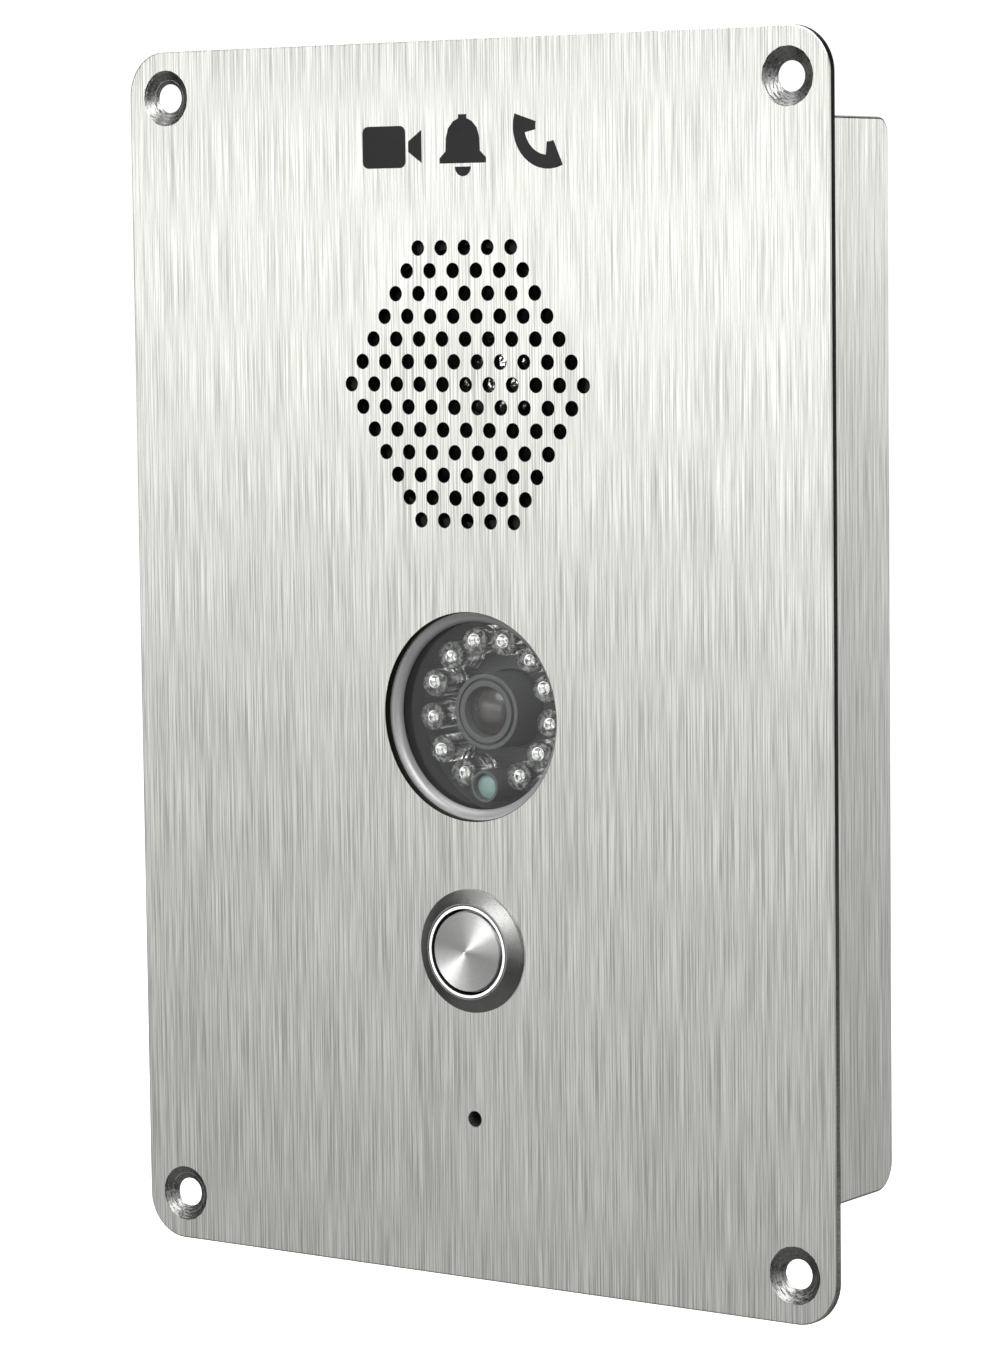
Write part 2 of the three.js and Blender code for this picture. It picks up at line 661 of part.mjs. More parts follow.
function buttonCap() {
  const { radius, edge, thick, stem, stemEnd } = CAP;
  const under = buttonTop + thick;
  return turned([
    [0, buttonTop],
    [radius - edge, buttonTop],
    [radius, buttonTop + edge],
    [radius, under],
    [stem, under],
    [stem, CLIP.front - CLIP.play],
    [stem - CLIP.groove, CLIP.front - CLIP.play],
    [stem - CLIP.groove, CLIP.back + CLIP.play],
    [stem, CLIP.back + CLIP.play],
    [stem, stemEnd],
    [0, stemEnd],
  ], SIDES.fine);
}

function buttonSpring() {
  const { radius, wire, turns, gap, stepsPerTurn } = SPRING;
  const front = buttonTop + CAP.thick + wire + gap;
  const coil = new Helix(radius, front, BARREL.web - wire - gap, turns);
  return wireAlong(coil, wire, SIDES.wire, stepsPerTurn * turns);
}

function flangeNut() {
  const hexagon = circle(NUT.flats / 2 / Math.cos(Math.PI / 6), 6);
  const body = join(slab(hexagon, NUT.front, NUT.back), rod(NUT.washerRadius, 0, NUT.washer, SIDES.middle));
  return cut(body, rod(BARREL.radius + 0.2, -1, NUT.back + 1, SIDES.fine));
}

function switchBlock() {
  const { front, hollow, hollowBack, back, step, narrower } = SWITCH;
  const inBarrel = BARREL.bore - step;
  const behind = BARREL.radius - narrower;
  const body = turned([
    [0, hollowBack],
    [hollow, hollowBack],
    [hollow, front],
    [inBarrel, front],
    [inBarrel, BARREL.back + step],
    [behind, BARREL.back + step],
    [behind, back],
    [0, back],
  ], SIDES.middle);
  const tags = [0, 90, 180, 270].map((angle) => {
    const { x, y: z } = polar(TAG.ring, angle);
    const [dx, dz] = [TAG.width / 2, TAG.thick / 2];
    return block([x - dx, x + dx], [back - 1, back + TAG.length], [z - dz, z + dz]);
  });
  return join(body, ...tags);
}

function callButton() {
  const group = new THREE.Group();
  group.position.z = BUTTON_Z;
  const face = -PLATE.thick;
  const { gap, inner } = LIGHT_RING;
  group.add(piece('button_body', 'satinSteel', buttonBody()));
  group.add(piece('button_seal', 'blackRubber', tube(
    SEAL.inner, SEAL.outer, face - SEAL.thick, face, SIDES.middle,
  )));
  group.add(piece('button_light_ring', 'whiteDiffuser', tube(
    inner, BEZEL.inner - gap, buttonTop + gap, BARREL.seat - 2 * gap, SIDES.fine,
  )));
  group.add(piece('button_cap', 'satinSteel', buttonCap()));
  group.add(piece('button_clip', 'zincSteel', tube(
    CAP.stem - CLIP.groove + 0.1, CLIP.radius, CLIP.front, CLIP.back, SIDES.coarse,
  )));
  group.add(piece('button_spring', 'zincSteel', buttonSpring()));
  group.add(piece('button_nut', 'satinSteel', flangeNut()));
  group.add(piece('button_switch_block', 'blackPlastic', switchBlock()));
  return group;
}

// ---------------------------------------------------------------- microphone

function microphone() {
  const group = new THREE.Group();
  group.position.z = MIC.z;
  group.add(piece('microphone_boot', 'blackRubber', turned([
    [BOOT.hole, 0],
    [BOOT.radius, 0],
    [BOOT.radius, BOOT.step],
    [BOOT.radius - BOOT.lip, BOOT.back],
    [BOOT.bore, BOOT.back],
    [BOOT.bore, BOOT.front],
    [BOOT.hole, BOOT.front],
  ], SIDES.coarse)));
  group.add(piece('microphone_capsule', 'zincSteel', turned([
    [0, CAPSULE.front],
    [CAPSULE.radius - CAPSULE.edge, CAPSULE.front],
    [CAPSULE.radius, CAPSULE.front + CAPSULE.edge],
    [CAPSULE.radius, CAPSULE.back],
    [0, CAPSULE.back],
  ], SIDES.coarse)));
  return group;
}

// ---------------------------------------------------------------- main board and leads

const headers = {
  speaker: { x: 18, z: 25 },
  camera: { x: 18, z: 0 },
  button: { x: -12, z: -42 },
  microphone: { x: 10, z: -54 },
};

function mainBoard() {
  const { width, height, z, front, thick } = MAIN_BOARD;
  const hole = STANDOFF.stud + HOLE_GAP;
  const holes = standoffPlaces.map((place) => circle(hole, SIDES.stud, place.x, place.z));
  const outline = roundedRectangle(width, height, 2, 3, 0, z);
  const sockets = Object.values(headers).map((at) => (
    onBoard(at.x, at.z, HEADER.width, HEADER.height, HEADER.tall)
  ));
  const chips = [
    onBoard(-18, 12, 16, 16, 1.4),
    onBoard(-18, 36, 12, 8, 1.1),
    onBoard(-36, 36, 8, 10, 1.6),
    onBoard(34, -12, 10, 6, 1.6),
  ];
  return join(slab(outline, front, front + thick, holes), ...sockets, ...chips);
}

function lineTransformer() {
  const { x, z, core, coreTall, winding, windingLength, tall } = TRANSFORMER;
  const { front } = MAIN_BOARD;
  return join(
    block(spread(x, core), [front - coreTall, front], spread(z, core)),
    block(spread(x, winding), [front - tall, front - coreTall + 1], spread(z, windingLength)),
  );
}

function terminalBlock() {
  const { front } = MAIN_BOARD;
  const { x, z, tall, first, pitch, count, screw } = TERMINALS;
  const body = block(x, [front - tall, front], z);
  const places = Array.from({ length: count }, (_, i) => first + pitch * i);
  const middle = (z[0] + z[1]) / 2;
  const screws = places.map((at) => (
    rod(screw, front - tall - 1, front - tall + 1.5, SIDES.stud).translate(at, 0, middle)
  ));
  const entries = places.map((at) => (
    block([at - 1.4, at + 1.4], [front - 6, front - 2.5], [z[0] - 1, z[0] + 2])
  ));
  return cut(body, ...screws, ...entries);
}

// A lead leaves its source and meets its socket on the board straight, with an easy bend between.
function lead(name, socket, x, y, z) {
  const { x: endX, z: endZ } = headers[socket];
  const { radius, gap, straight, steps } = LEAD;
  const start = y + gap;
  const end = MAIN_BOARD.front - HEADER.tall - gap;
  const route = new THREE.CatmullRomCurve3([
    new THREE.Vector3(x, start, z),
    new THREE.Vector3(x, start + straight, z),
    new THREE.Vector3(endX, end - straight, endZ),
    new THREE.Vector3(endX, end, endZ),
  ], false, 'centripetal');
  return piece(name, 'blackRubber', wireAlong(route, radius, SIDES.stud, steps));
}

function electronics() {
  const group = new THREE.Group();
  const { front } = MAIN_BOARD;
  group.add(piece('main_board', 'greenBoard', mainBoard()));
  group.add(piece('relay', 'bluePlastic', block(RELAY.x, [front - RELAY.tall, front], RELAY.z)));
  group.add(piece('line_transformer', 'blackPlastic', lineTransformer()));
  group.add(piece('terminal_block', 'greenPlastic', terminalBlock()));

  const sensorBack = SENSOR_BOARD.front + SENSOR_BOARD.thick;
  group.add(lead('speaker_lead', 'speaker', 9.8, 10, 32.6));
  group.add(lead('camera_lead', 'camera', 0, sensorBack, OPENING.z + MODULE_RISE));
  group.add(lead('button_lead', 'button', 0, SWITCH.back, BUTTON_Z));
  group.add(lead('microphone_lead', 'microphone', 0, CAPSULE.back, MIC.z));
  return group;
}

// ---------------------------------------------------------------- the whole panel

const group = new THREE.Group();
group.add(enclosure(), speaker(), camera(), callButton(), microphone(), electronics());

export default group;
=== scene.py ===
"""The looks of the door intercom panel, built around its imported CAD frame.

Shapes are written in millimetres and become metres when their mesh is made. +X is to the right of a visitor
who faces the panel, +Y goes into the wall and +Z is up. Depths are values of Y.
"""
import json
import math
import random

import bmesh
import bpy
from mathutils import Matrix, Vector
from mathutils.geometry import tessellate_polygon

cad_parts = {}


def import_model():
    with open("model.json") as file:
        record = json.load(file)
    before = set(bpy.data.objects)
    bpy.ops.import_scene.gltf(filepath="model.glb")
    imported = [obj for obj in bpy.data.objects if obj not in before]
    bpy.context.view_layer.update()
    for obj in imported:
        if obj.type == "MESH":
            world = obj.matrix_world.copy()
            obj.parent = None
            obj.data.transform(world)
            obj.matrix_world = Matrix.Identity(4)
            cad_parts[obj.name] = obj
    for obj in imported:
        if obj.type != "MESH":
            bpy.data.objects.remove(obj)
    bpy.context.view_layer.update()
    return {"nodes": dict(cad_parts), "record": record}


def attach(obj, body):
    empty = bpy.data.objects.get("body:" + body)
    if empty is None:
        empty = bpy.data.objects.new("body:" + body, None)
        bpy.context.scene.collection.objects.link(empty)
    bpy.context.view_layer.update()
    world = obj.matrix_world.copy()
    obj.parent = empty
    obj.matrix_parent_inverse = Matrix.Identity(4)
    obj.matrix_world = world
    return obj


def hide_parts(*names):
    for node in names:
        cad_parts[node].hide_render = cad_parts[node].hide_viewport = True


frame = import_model()

# ---- dimensions ----

MM = 0.001
TOUCH = 0.05
SHARP_ANGLE = math.radians(32)

PLATE = {"width": 150, "height": 220, "thick": 1.5, "corner": 8}
FACE = -PLATE["thick"]
FIXING = {"x": 66.6, "z": 101.5, "radius": 2.6, "sink": 5, "half_angle": 59}
GRILLE = {"z": 49.7, "pitch": 5, "row_pitch": 4, "rows": 13, "longest": 11, "radius": 1.3}
OPENING = {"z": -9, "radius": 18.5}
MIC = {"z": -81, "radius": 1.4}
STUD = {"radius": 1.5, "end": 5.5, "ring": 33, "ear": 25, "ease": 0.4}
SIGN = {"z": 91.5, "pitch": 15.5, "proud": 0.03, "sunk": 0.01}

BOX = {"width": 114, "height": 191.5, "front": 1, "back": 48, "wall": 1.2, "bend": 3, "low_bend": 5}
BOARD = {"width": 96, "height": 140, "z": 8, "front": 37.2, "thick": 1.6}
STANDOFF = {"inset": 5, "radius": 3, "stud": 1.4, "stud_length": 3}
SCREW = {"x": 16, "y": 9, "radius": 1.5, "head": 2.8, "tall": 1.6, "length": 7, "turns": 10, "socket": 1.1}
GROMMET = {"y": 30, "hole": 7, "flange": 10, "lip": 1.6}

WINDOW = {"front": 1.55, "back": 2.55, "sight": 16.7, "radius": 20, "flange": 22}
HOUSING = {"radius": 22, "seat": 20.3, "wall": 19.4, "ledge": 17.5, "back": 25.5, "floor": 1.5,
           "lead_hole": 4}
EAR = {"x": 25, "radius": 5, "hole": 1.8, "root_x": 21.5, "root": 6, "thick": 1.5}
DIODE_BOARD = {"radius": 19.2, "hole": 7.1, "front": 11.4, "back": 12.6}
MODULE_Z = -8.5
LED = {"ring": 12.8, "places": 13, "radius": 2.5, "flange": 2.9, "tip": 2.8, "base": 11.35}
EYE = {"ring": 13.4, "angle": -92, "radius": 2.25, "sleeve": 2.9, "front": 3.3, "face": 4.3}
LENS = {"front": 3.3, "bore": 4.55, "groove": (5.6, 6.0), "groove_floor": 4.2, "step": 3.5, "barrel": 6.8,
        "flange": 9, "flange_front": 16, "back": 19.9, "rear_bore": 3, "glass": 4.2, "glass_back": 6.5}

CAP_EDGE = {"radius": 8.3, "front": 6.8}
CONE = {"edge": 21.2, "front": 2.4, "neck": 8.35, "neck_front": 7.45}

BUTTON_Z = -50.7
BUTTON_TOP = FACE - 1.9
HEAD = {"bore": 8.38, "flat": 8.7, "radius": 11.05, "rim": 0.5, "foot": 10.7, "recess": 0.45, "hole": 9.7}
BARREL = {"radius": 9.5, "back": 18, "bore": 7.5, "web": (8, 9.5), "stem_hole": 3.8, "spring_room": 7,
          "ring_seat": 4.2}
LIGHT = {"inner": 7.7, "outer": 8.28, "back": 4.1, "ease": 0.04}
CAP = {"face": 7.1, "skirt": 7.3, "skirt_front": 1.25, "thick": 2.5, "stem": 3.5, "clip": 2.9,
       "clip_groove": (9.75, 10.45), "end": 12}


# ---- mesh tools ----

def add_object(name, data):
    made = bpy.data.objects.new(name, data)
    bpy.context.scene.collection.objects.link(made)
    return made


class Shape:
    """Gathers a piece's corners and faces, in millimetres, and makes its mesh."""

    def __init__(self):
        self.corners, self.faces, self.looks, self.flats = [], [], [], []

    def ring(self, points):
        start = len(self.corners)
        self.corners.extend(points)
        return list(range(start, len(self.corners)))

    def loop(self, points, depth):
        """A ring of (x, z) points at one depth."""
        return self.ring([(x, depth, z) for x, z in points])

    def face(self, corners, look=0, flat=False):
        self.faces.append(tuple(corners))
        self.looks.append(look)
        self.flats.append(flat)

    def bridge(self, a, b, look=0):
        """Faces between two rings with the same number of corners, or between a ring and a single point."""
        count = max(len(a), len(b))
        for i in range(count):
            j = (i + 1) % count
            if len(a) == 1:
                self.face((a[0], b[i], b[j]), look)
            elif len(b) == 1:
                self.face((a[i], b[0], a[j]), look)
            else:
                self.face((a[i], b[i], b[j], a[j]), look)

    def chain(self, rings, look=0):
        for a, b in zip(rings, rings[1:]):
            self.bridge(a, b, look)

    def fill(self, outline, holes, look=0, along=1):
        """A flat face with holes, at right angles to the given axis."""
        rings = [outline, *holes]
        kept = [axis for axis in range(3) if axis != along]
        flat = [[(self.corners[i][kept[0]], self.corners[i][kept[1]], 0) for i in ring] for ring in rings]
        order = [i for ring in rings for i in ring]
        for a, b, c in tessellate_polygon(flat):
            self.face((order[a], order[b], order[c]), look, flat=True)

    def slab(self, outline, holes, front, back):
        """A flat sheet between two depths. The outline and its holes are lists of (x, z)."""
        levels = []
        for depth in (front, back):
            rings = [self.loop(points, depth) for points in (outline, *holes)]
            self.fill(rings[0], rings[1:])
            levels.append(rings)
        for a, b in zip(*levels):
            self.bridge(a, b)

    def lathe(self, profile, sides, x=0, z=0, look=0):
        """Turns a list of (radius, depth) about a line along Y. Away from that line the profile closes."""
        rings = []
        for radius, depth in profile:
            if radius == 0:
                rings.append(self.ring([(x, depth, z)]))
            else:
                rings.append(self.loop(circle(x, z, radius, sides), depth))
        if profile[0][0] and profile[-1][0]:
            rings.append(rings[0])
        self.chain(rings, look)
        return rings

    def make(self, name, materials, uv=None, centre=(0, 0, 0)):
        """The finished object. uv is "wall" for brushed sheet or "round" for a turned face."""
        mesh = bpy.data.meshes.new(name)
        middle = Vector(centre)
        mesh.from_pydata([(Vector(c) - middle) * MM for c in self.corners], [], self.faces)
        outward(mesh)
        mesh.set_sharp_from_angle(angle=SHARP_ANGLE)
        for polygon, look, flat in zip(mesh.polygons, self.looks, self.flats):
            polygon.material_index = look
            polygon.use_smooth = not flat
        for material in materials:
            mesh.materials.append(material)
        if uv:
            lay_brushing(mesh, uv)
        piece = add_object(name, mesh)
        piece.location = middle * MM
        return piece


def outward(mesh):
    """Turns every face of a closed mesh to look outward."""
    work = bmesh.new()
    work.from_mesh(mesh)
    bmesh.ops.recalc_face_normals(work, faces=work.faces)
    work.to_mesh(mesh)
    work.free()


def lay_brushing(mesh, mode):
    """UVs in metres: U runs across the brush marks and V runs along them."""
    layer = mesh.uv_layers.new(name="brushing")
    steep = math.cos(math.radians(45))
    turn_length = 0.01
    for polygon in mesh.polygons:
        n = polygon.normal
        for loop in polygon.loop_indices:
            x, y, z = mesh.vertices[mesh.loops[loop].vertex_index].co
            if mode == "round":
                u, v = math.hypot(x, z), math.atan2(z, x) * turn_length
            elif abs(n.z) > steep:
                u, v = x, y
            elif abs(n.x) > steep:
                u, v = y, z
            else:
                u, v = x, z
            layer.data[loop].uv = (u, v)


def rounded(corners, steps=4):
    """Rounds a profile's corners. A corner is (radius, depth) or (radius, depth, size of its round)."""
    points = []
    count = len(corners)
    for i, corner in enumerate(corners):
        here = Vector(corner[:2])
        if len(corner) < 3:
            points.append(tuple(here))
            continue
        before = Vector(corners[i - 1][:2]) - here
        after = Vector(corners[(i + 1) % count][:2]) - here
        size = corner[2]
        start = here + before.normalized() * size
        end = here + after.normalized() * size
        for k in range(steps + 1):
            t = k / steps
            point = start * (1 - t) ** 2 + here * 2 * t * (1 - t) + end * t ** 2
            points.append(tuple(point))
    return points


def arc(x, y, radius, start, end, steps):
    """Points of an arc, its angles in degrees."""
    turns = [math.radians(start + (end - start) * i / steps) for i in range(steps + 1)]
    return [(x + radius * math.cos(a), y + radius * math.sin(a)) for a in turns]


def circle(x, y, radius, sides):
    return arc(x, y, radius, 0, 360, sides)[:-1]


def rounded_rectangle(width, height, radius, steps=14):
    dx, dz = width / 2 - radius, height / 2 - radius
    points = []
    for quarter, (sx, sz) in enumerate(((1, 1), (-1, 1), (-1, -1), (1, -1))):
        points += arc(sx * dx, sz * dz, radius, 90 * quarter, 90 * quarter + 90, steps)
    return points


def polar(radius, angle, x=0, z=0):
    turn = math.radians(angle)
    return x + radius * math.cos(turn), z + radius * math.sin(turn)


# ---- materials ----

class Look:
    """A node material around one Principled shader."""

    def __init__(self, name, color, metallic=0.0, roughness=0.5, **values):
        self.name = name
        self.material = bpy.data.materials.new(name)
        self.material.use_nodes = True
        self.tree = self.material.node_tree
        self.shader = self.tree.nodes["Principled BSDF"]
        self.color = color
        self.set("Base Color", (*color, 1))
        self.set("Metallic", metallic)
        self.set("Roughness", roughness)
        for socket, value in values.items():
            self.set(socket.replace("_", " "), value)
        self.height = None

    def set(self, socket, value):
        self.shader.inputs[socket].default_value = value

    def node(self, kind, **settings):
        made = self.tree.nodes.new("ShaderNode" + kind)
        for key, value in settings.items():
            setattr(made, key, value)
        return made

    def link(self, source, target):
        self.tree.links.new(source, target)

    def feed(self, source, socket):
        self.link(source, self.shader.inputs[socket])

    def math(self, operation, a, b=None):
        made = self.node("Math", operation=operation)
        for socket, value in zip(made.inputs, (a, b)):
            if value is None:
                continue
            if isinstance(value, (int, float)):
                socket.default_value = value
            else:
                self.link(value, socket)
        return made.outputs[0]

    def weigh(self, first, share, *others):
        """The sum of some values, each of them times the share that follows it."""
        total = self.math("MULTIPLY", first, share)
        for value, part in zip(others[::2], others[1::2]):
            total = self.math("ADD", total, self.math("MULTIPLY", value, part))
        return total

    def place(self, scale, uv=False):
        """Coordinates in millimetres, scaled on each axis: the piece's own, or its UVs."""
        coordinates = self.node("TexCoord")
        mapping = self.node("Mapping")
        mapping.inputs["Scale"].default_value = [s / MM for s in scale]
        self.link(coordinates.outputs["UV" if uv else "Object"], mapping.inputs["Vector"])
        return mapping.outputs["Vector"]

    def noise(self, scale, detail=3, rough=0.55, uv=False):
        """Noise with the given number of cells per millimetre on each axis."""
        made = self.node("TexNoise")
        made.inputs["Scale"].default_value = 1.0
        made.inputs["Detail"].default_value = detail
        made.inputs["Roughness"].default_value = rough
        self.link(self.place(scale, uv), made.inputs["Vector"])
        return made.outputs["Fac"]

    def spread(self, value, low, high, start=0.3, end=0.7):
        """Moves a noise's usual range onto low..high."""
        made = self.node("MapRange", clamp=True)
        for key, number in (("From Min", start), ("From Max", end), ("To Min", low), ("To Max", high)):
            made.inputs[key].default_value = number
        self.link(value, made.inputs["Value"])
        return made.outputs["Result"]

    def tint(self, factor, dark, light, start=0.3, end=0.7):
        """Base colour from a noise, between the material's colour times dark and times light."""
        ramp = self.node("ValToRGB")
        stops = ramp.color_ramp.elements
        stops[0].position, stops[1].position = start, end
        stops[0].color = (*(min(1, c * dark) for c in self.color), 1)
        stops[1].color = (*(min(1, c * light) for c in self.color), 1)
        self.link(factor, ramp.inputs["Fac"])
        self.feed(ramp.outputs["Color"], "Base Color")
        return ramp.outputs["Color"]

    def bump(self, height, distance, strength=1.0):
        """Relief from a height, its full depth in millimetres. A second call adds to the first."""
        made = self.node("Bump")
        made.inputs["Strength"].default_value = strength
        made.inputs["Distance"].default_value = distance * MM
        self.link(height, made.inputs["Height"])
        if self.height:
            self.link(self.height, made.inputs["Normal"])
        self.height = made.outputs["Normal"]
        self.feed(self.height, "Normal")

    def vary_gloss(self, value, low, high):
        """Lets the roughness follow a noise."""
        self.feed(self.spread(value, low, high), "Roughness")

    def brush_along_uv(self):
        """Stretches the gloss along the brush marks that the UV map follows."""
        tangent = self.node("Tangent", direction_type="UV_MAP", uv_map="brushing")
        self.feed(tangent.outputs["Tangent"], "Tangent")


def brushed(name, color, roughness, streak, depth):
    """Sheet metal brushed along V, with long fine streaks of several widths."""
    look = Look(name, color, 1.0, roughness, Anisotropic=0.75)
    fine = look.noise((6.0, 0.05, 1), detail=2, rough=0.65, uv=True)
    middle = look.noise((3.4, 0.02, 1), detail=2, rough=0.5, uv=True)
    broad = look.noise((0.13, 0.004, 1), detail=2, uv=True)
    marks = look.weigh(fine, 0.6, middle, 0.35, broad, 0.05)
    look.tint(marks, 1 - streak, 1 + streak * 0.45, 0.4, 0.59)
    look.vary_gloss(middle, roughness - 0.05, roughness + 0.06)
    look.bump(fine, depth)
    look.brush_along_uv()
    return look


def grained(name, color, metallic, roughness, grain, depth, mottle=0.08, patch=6.0, **values):
    """A plain finish with fine grain of the given size and soft patches of colour, both in millimetres."""
    look = Look(name, color, metallic, roughness, **values)
    fine = look.noise((1 / grain,) * 3)
    soft = look.noise((1 / patch,) * 3, detail=4)
    mixed = look.weigh(fine, 0.4, soft, 0.6)
    look.tint(mixed, 1 - mottle, 1 + mottle, 0.35, 0.65)
    look.vary_gloss(soft, roughness * 0.85, min(1, roughness * 1.15))
    look.bump(fine, depth)
    return look


def spun_steel():
    """The cap's face: fine rings turned about its middle, which stretch each glint along a spoke."""
    look = Look("spun_steel", (0.95, 0.95, 0.94), 1.0, 0.54, Anisotropic=0.95)
    rings = look.noise((9, 0.12, 1), uv=True)
    grain = look.noise((7, 7, 7), detail=2)
    mixed = look.weigh(rings, 0.6, grain, 0.4)
    look.tint(mixed, 0.9, 1.04, 0.35, 0.65)
    look.vary_gloss(grain, 0.5, 0.58)
    look.bump(rings, 0.002)
    look.brush_along_uv()
    return look


def cap_foil():
    """The dust cap's thin bright skin, a little dented."""
    look = Look("cap_foil", (0.8, 0.8, 0.79), 1.0, 0.16)
    dents = look.noise((0.3, 0.3, 0.3), detail=2)
    grain = look.noise((2, 2, 2))
    look.tint(grain, 0.9, 1.05)
    look.vary_gloss(grain, 0.12, 0.22)
    look.bump(dents, 1.2)
    return look


def lead_frame():
    """Stamped and crumpled bright metal inside a diode."""
    look = Look("lead_frame", (0.5, 0.5, 0.49), 1.0, 0.25)
    spots = look.noise((1.6, 1.6, 1.6), detail=4, rough=0.7)
    look.tint(spots, 0.12, 1.25, 0.4, 0.62)
    look.vary_gloss(spots, 0.15, 0.35)
    look.bump(spots, 0.6)
    return look


def cut_edge():
    """The sheet's sheared rim: dark and rough, with fine lines across it, and with painted light that makes
    it paler towards the bottom and painted shade that makes it darker higher up.
    """
    look = Look("cut_edge", (0.07, 0.073, 0.066), 0.85, 0.5, Specular_IOR_Level=0.1)
    lines = look.noise((4, 0.4, 4))
    patches = look.noise((0.08, 0.3, 0.08))
    mixed = look.weigh(lines, 0.6, patches, 0.4)
    color = look.tint(mixed, 0.45, 1.7, 0.36, 0.66)
    # Painted light and shade: the rim's colour is made up to 4.5 times lighter below Z = -100 mm and 4
    # times darker above Z = -25 mm.
    split = look.node("SeparateXYZ")
    look.link(look.place((1, 1, 1)), split.inputs[0])
    painted_light_and_shade = look.node("HueSaturation")
    look.link(color, painted_light_and_shade.inputs["Color"])
    look.link(look.spread(split.outputs["Z"], 4.5, 0.25, -100, -25), painted_light_and_shade.inputs["Value"])
    look.feed(painted_light_and_shade.outputs["Color"], "Base Color")
    look.vary_gloss(lines, 0.42, 0.7)
    look.bump(lines, 0.03)
    return look


def countersunk():
    """The turned cone of a countersink, with painted shade: its metal colour is much darker than the
    plate's steel.
    """
    look = Look("countersunk", (0.33, 0.33, 0.32), 1.0, 0.28)
    marks = look.noise((2.2, 2.2, 2.2), detail=4, rough=0.65)
    look.tint(marks, 0.6, 1.25)
    look.vary_gloss(marks, 0.2, 0.42)
    look.bump(marks, 0.02)
    return look


def clear_glass(name, color, roughness, share):
    """Thin clear sheet: light goes straight through, and a share that grows at a slant is reflected."""
    look = Look(name, color, 0.0, roughness)
    look.tree.nodes.remove(look.shader)
    output = look.tree.nodes["Material Output"]
    through = look.node("BsdfTransparent")
    through.inputs["Color"].default_value = (*color, 1)
    gloss = look.node("BsdfGlossy")
    smears = look.noise((0.12, 0.12, 0.12))
    look.link(look.spread(smears, roughness * 0.6, roughness * 2.0), gloss.inputs["Roughness"])
    fresnel = look.node("Fresnel")
    fresnel.inputs["IOR"].default_value = 1.45
    mix = look.node("MixShader")
    look.link(look.math("MULTIPLY", fresnel.outputs[0], share), mix.inputs["Fac"])
    look.link(through.outputs[0], mix.inputs[1])
    look.link(gloss.outputs[0], mix.inputs[2])
    look.link(mix.outputs[0], output.inputs["Surface"])
    return look


def clear_epoxy():
    """Moulded clear resin, with soft flow marks."""
    look = Look("clear_epoxy", (0.97, 0.98, 0.97), 0.0, 0.03, Transmission_Weight=1.0, IOR=1.52)
    flow = look.noise((0.9, 0.9, 0.5), detail=2)
    look.vary_gloss(flow, 0.015, 0.06)
    look.bump(flow, 0.02)
    return look


def circuit_board(name, color, roughness):
    """Solder mask over copper tracks that run up and across."""
    look = Look(name, color, 0.0, roughness, Coat_Weight=0.25, Coat_Roughness=0.3)
    brick = look.node("TexBrick", offset=0.37, squash=0.6, squash_frequency=3)
    tracks = {"Scale": 1.0, "Mortar Size": 0.06, "Mortar Smooth": 0.4, "Brick Width": 1.7,
              "Row Height": 0.55}
    for socket, value in tracks.items():
        brick.inputs[socket].default_value = value
    turn = look.node("Mapping")
    turn.inputs["Rotation"].default_value = (math.radians(90), 0, 0)
    look.link(look.place((0.45, 0.45, 0.45)), turn.inputs["Vector"])
    look.link(turn.outputs["Vector"], brick.inputs["Vector"])
    grain = look.noise((3, 3, 3))
    mixed = look.weigh(brick.outputs["Fac"], 0.3, grain, 0.6)
    look.tint(mixed, 0.88, 1.16, 0.2, 0.75)
    look.bump(brick.outputs["Fac"], 0.03)
    look.bump(grain, 0.006)
    return look


def lens_coating():
    """Dark coated glass with a warm tint, a little lighter and darker in soft random clouds."""
    look = Look("lens_glass", (0.075, 0.068, 0.06), 0.0, 0.22, Coat_Weight=0.6, Coat_Roughness=0.05,
                IOR=1.6)
    clouds = look.noise((0.25, 0.25, 0.25))
    look.tint(clouds, 0.7, 1.35)
    look.vary_gloss(clouds, 0.18, 0.34)
    return look


steel = brushed("brushed_steel", (0.82, 0.828, 0.779), 0.34, 0.48, 0.008)
edge_steel = cut_edge()
sink_steel = countersunk()
cap_steel = spun_steel()
satin = grained("satin_steel", (0.58, 0.58, 0.57), 1.0, 0.32, 0.2, 0.02, mottle=0.12)
# Painted shade: the bezel is the satin steel painted darker, so that its sides read dark.
shaded_bezel_steel = grained("shaded_bezel_steel", (0.3, 0.3, 0.29), 1.0, 0.3, 0.22, 0.05, mottle=0.16)
zinc = grained("zinc_steel", (0.62, 0.64, 0.65), 1.0, 0.38, 0.5, 0.01, mottle=0.16, patch=3)
rubber = grained("black_rubber", (0.018, 0.018, 0.018), 0.0, 0.75, 0.3, 0.03, mottle=0.25,
                 Specular_IOR_Level=0.35)
ring_grey = grained("window_ring_grey", (0.5, 0.505, 0.5), 0.3, 0.36, 0.25, 0.004, mottle=0.06,
                    Coat_Weight=0.15, Coat_Roughness=0.2)
window_glass = clear_glass("clear_window", (0.97, 0.975, 0.97), 0.02, 0.6)
epoxy = clear_epoxy()
black_plastic = grained("black_plastic", (0.035, 0.036, 0.037), 0.0, 0.5, 0.35, 0.02, mottle=0.2)
housing_plastic = grained("housing_plastic", (0.075, 0.079, 0.078), 0.0, 0.5, 0.4, 0.015, mottle=0.12)
dark_board = circuit_board("dark_board", (0.1, 0.105, 0.104), 0.45)
green_board = circuit_board("green_board", (0.02, 0.16, 0.06), 0.4)
eye_face = grained("sensor_face", (0.36, 0.56, 0.53), 0.0, 0.25, 0.4, 0.006, mottle=0.12, Coat_Weight=0.8)
